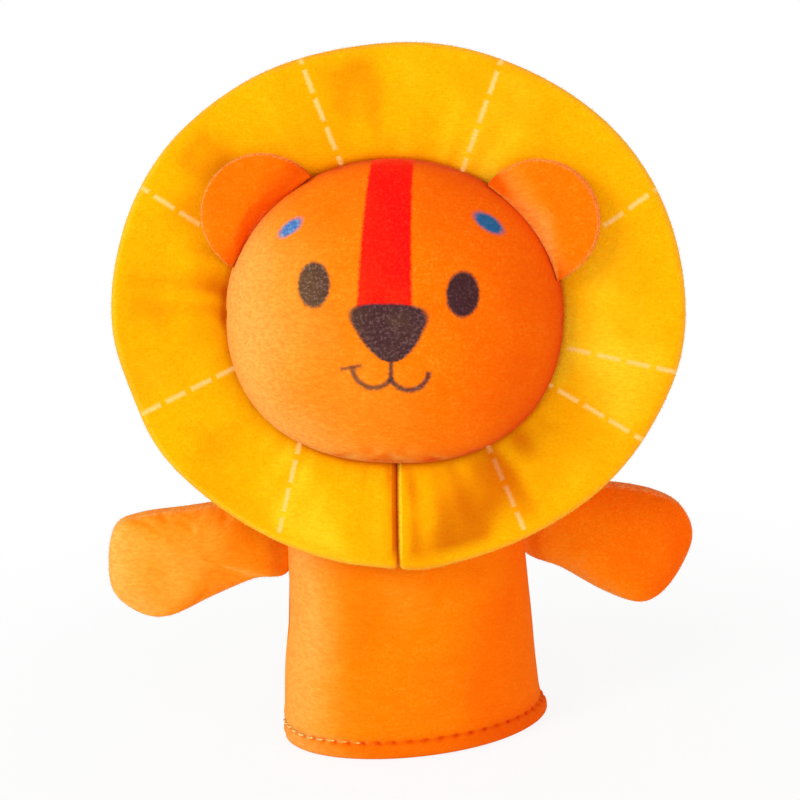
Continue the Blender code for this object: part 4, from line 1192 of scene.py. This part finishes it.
def area_light(name, location, aim, size, power):
    data = bpy.data.lights.new(name, "AREA")
    data.size = size
    data.energy = power
    light = bpy.data.objects.new(name, data)
    bpy.context.scene.collection.objects.link(light)
    light.location = location
    light.rotation_euler = (Vector(aim) - Vector(location)).to_track_quat("-Z", "Y").to_euler()


def floor_material():
    """White to the camera all round, with the puppet's shadow kept near it."""
    g = Graph("floor")
    g.shader.inputs["Base Color"].default_value = (0.92, 0.92, 0.92, 1)
    g.shader.inputs["Roughness"].default_value = 0.9
    g.shader.inputs["Specular IOR Level"].default_value = 0.0
    split = g.node("ShaderNodeSeparateXYZ", {"Vector": g.node("ShaderNodeTexCoord").outputs["Object"]})
    away = g.length(split.outputs["X"], split.outputs["Y"])
    white = g.step(away, 0.04, 0.13, 0.87, 1.0)
    seen = g.node("ShaderNodeLightPath").outputs["Is Camera Ray"]
    glow = g.node("ShaderNodeEmission", {"Color": (1, 1, 1, 1), "Strength": 1.0})
    both = g.node("ShaderNodeMixShader", {0: g.mul(seen, white), 1: g.shader.outputs[0], 2: glow.outputs[0]})
    g.put(g.tree.nodes["Material Output"].inputs["Surface"], both.outputs[0])
    return g.material


def stage_and_light():
    scene = bpy.context.scene
    scene.view_settings.view_transform = "Standard"
    world = bpy.data.worlds.new("studio")
    scene.world = world
    world.use_nodes = True
    tree = world.node_tree
    background = tree.nodes["Background"]
    background.inputs["Color"].default_value = (1.0, 1.0, 1.0, 1.0)
    rays = tree.nodes.new("ShaderNodeLightPath")
    seen = tree.nodes.new("ShaderNodeMath")
    seen.operation = "MAXIMUM"
    tree.links.new(rays.outputs["Is Camera Ray"], seen.inputs[0])
    tree.links.new(rays.outputs["Is Glossy Ray"], seen.inputs[1])
    strength = tree.nodes.new("ShaderNodeMapRange")
    strength.inputs["To Min"].default_value = WORLD_LIGHT
    strength.inputs["To Max"].default_value = 1.0  # white, where the camera sees it
    tree.links.new(seen.outputs[0], strength.inputs["Value"])
    tree.links.new(strength.outputs["Result"], background.inputs["Strength"])
    make_floor()
    area_light("key", location=(-0.62, -0.52, 0.46), aim=(0, 0, 0.055), size=0.4, power=3.7)
    area_light("fill", location=(0.62, -0.66, 0.16), aim=(0, 0, 0.04), size=0.6, power=3.3)


sleeve_panel("sleeve_front", -1.0, "body_front")
sleeve_panel("sleeve_back", 1.0, "body_back")
hem_stitches()
head()
mane()
slit_stitches()
for side, word in ((LEFT, "left"), (RIGHT, "right")):
    ear(side, word)
    arm(side, word)
stage_and_light()
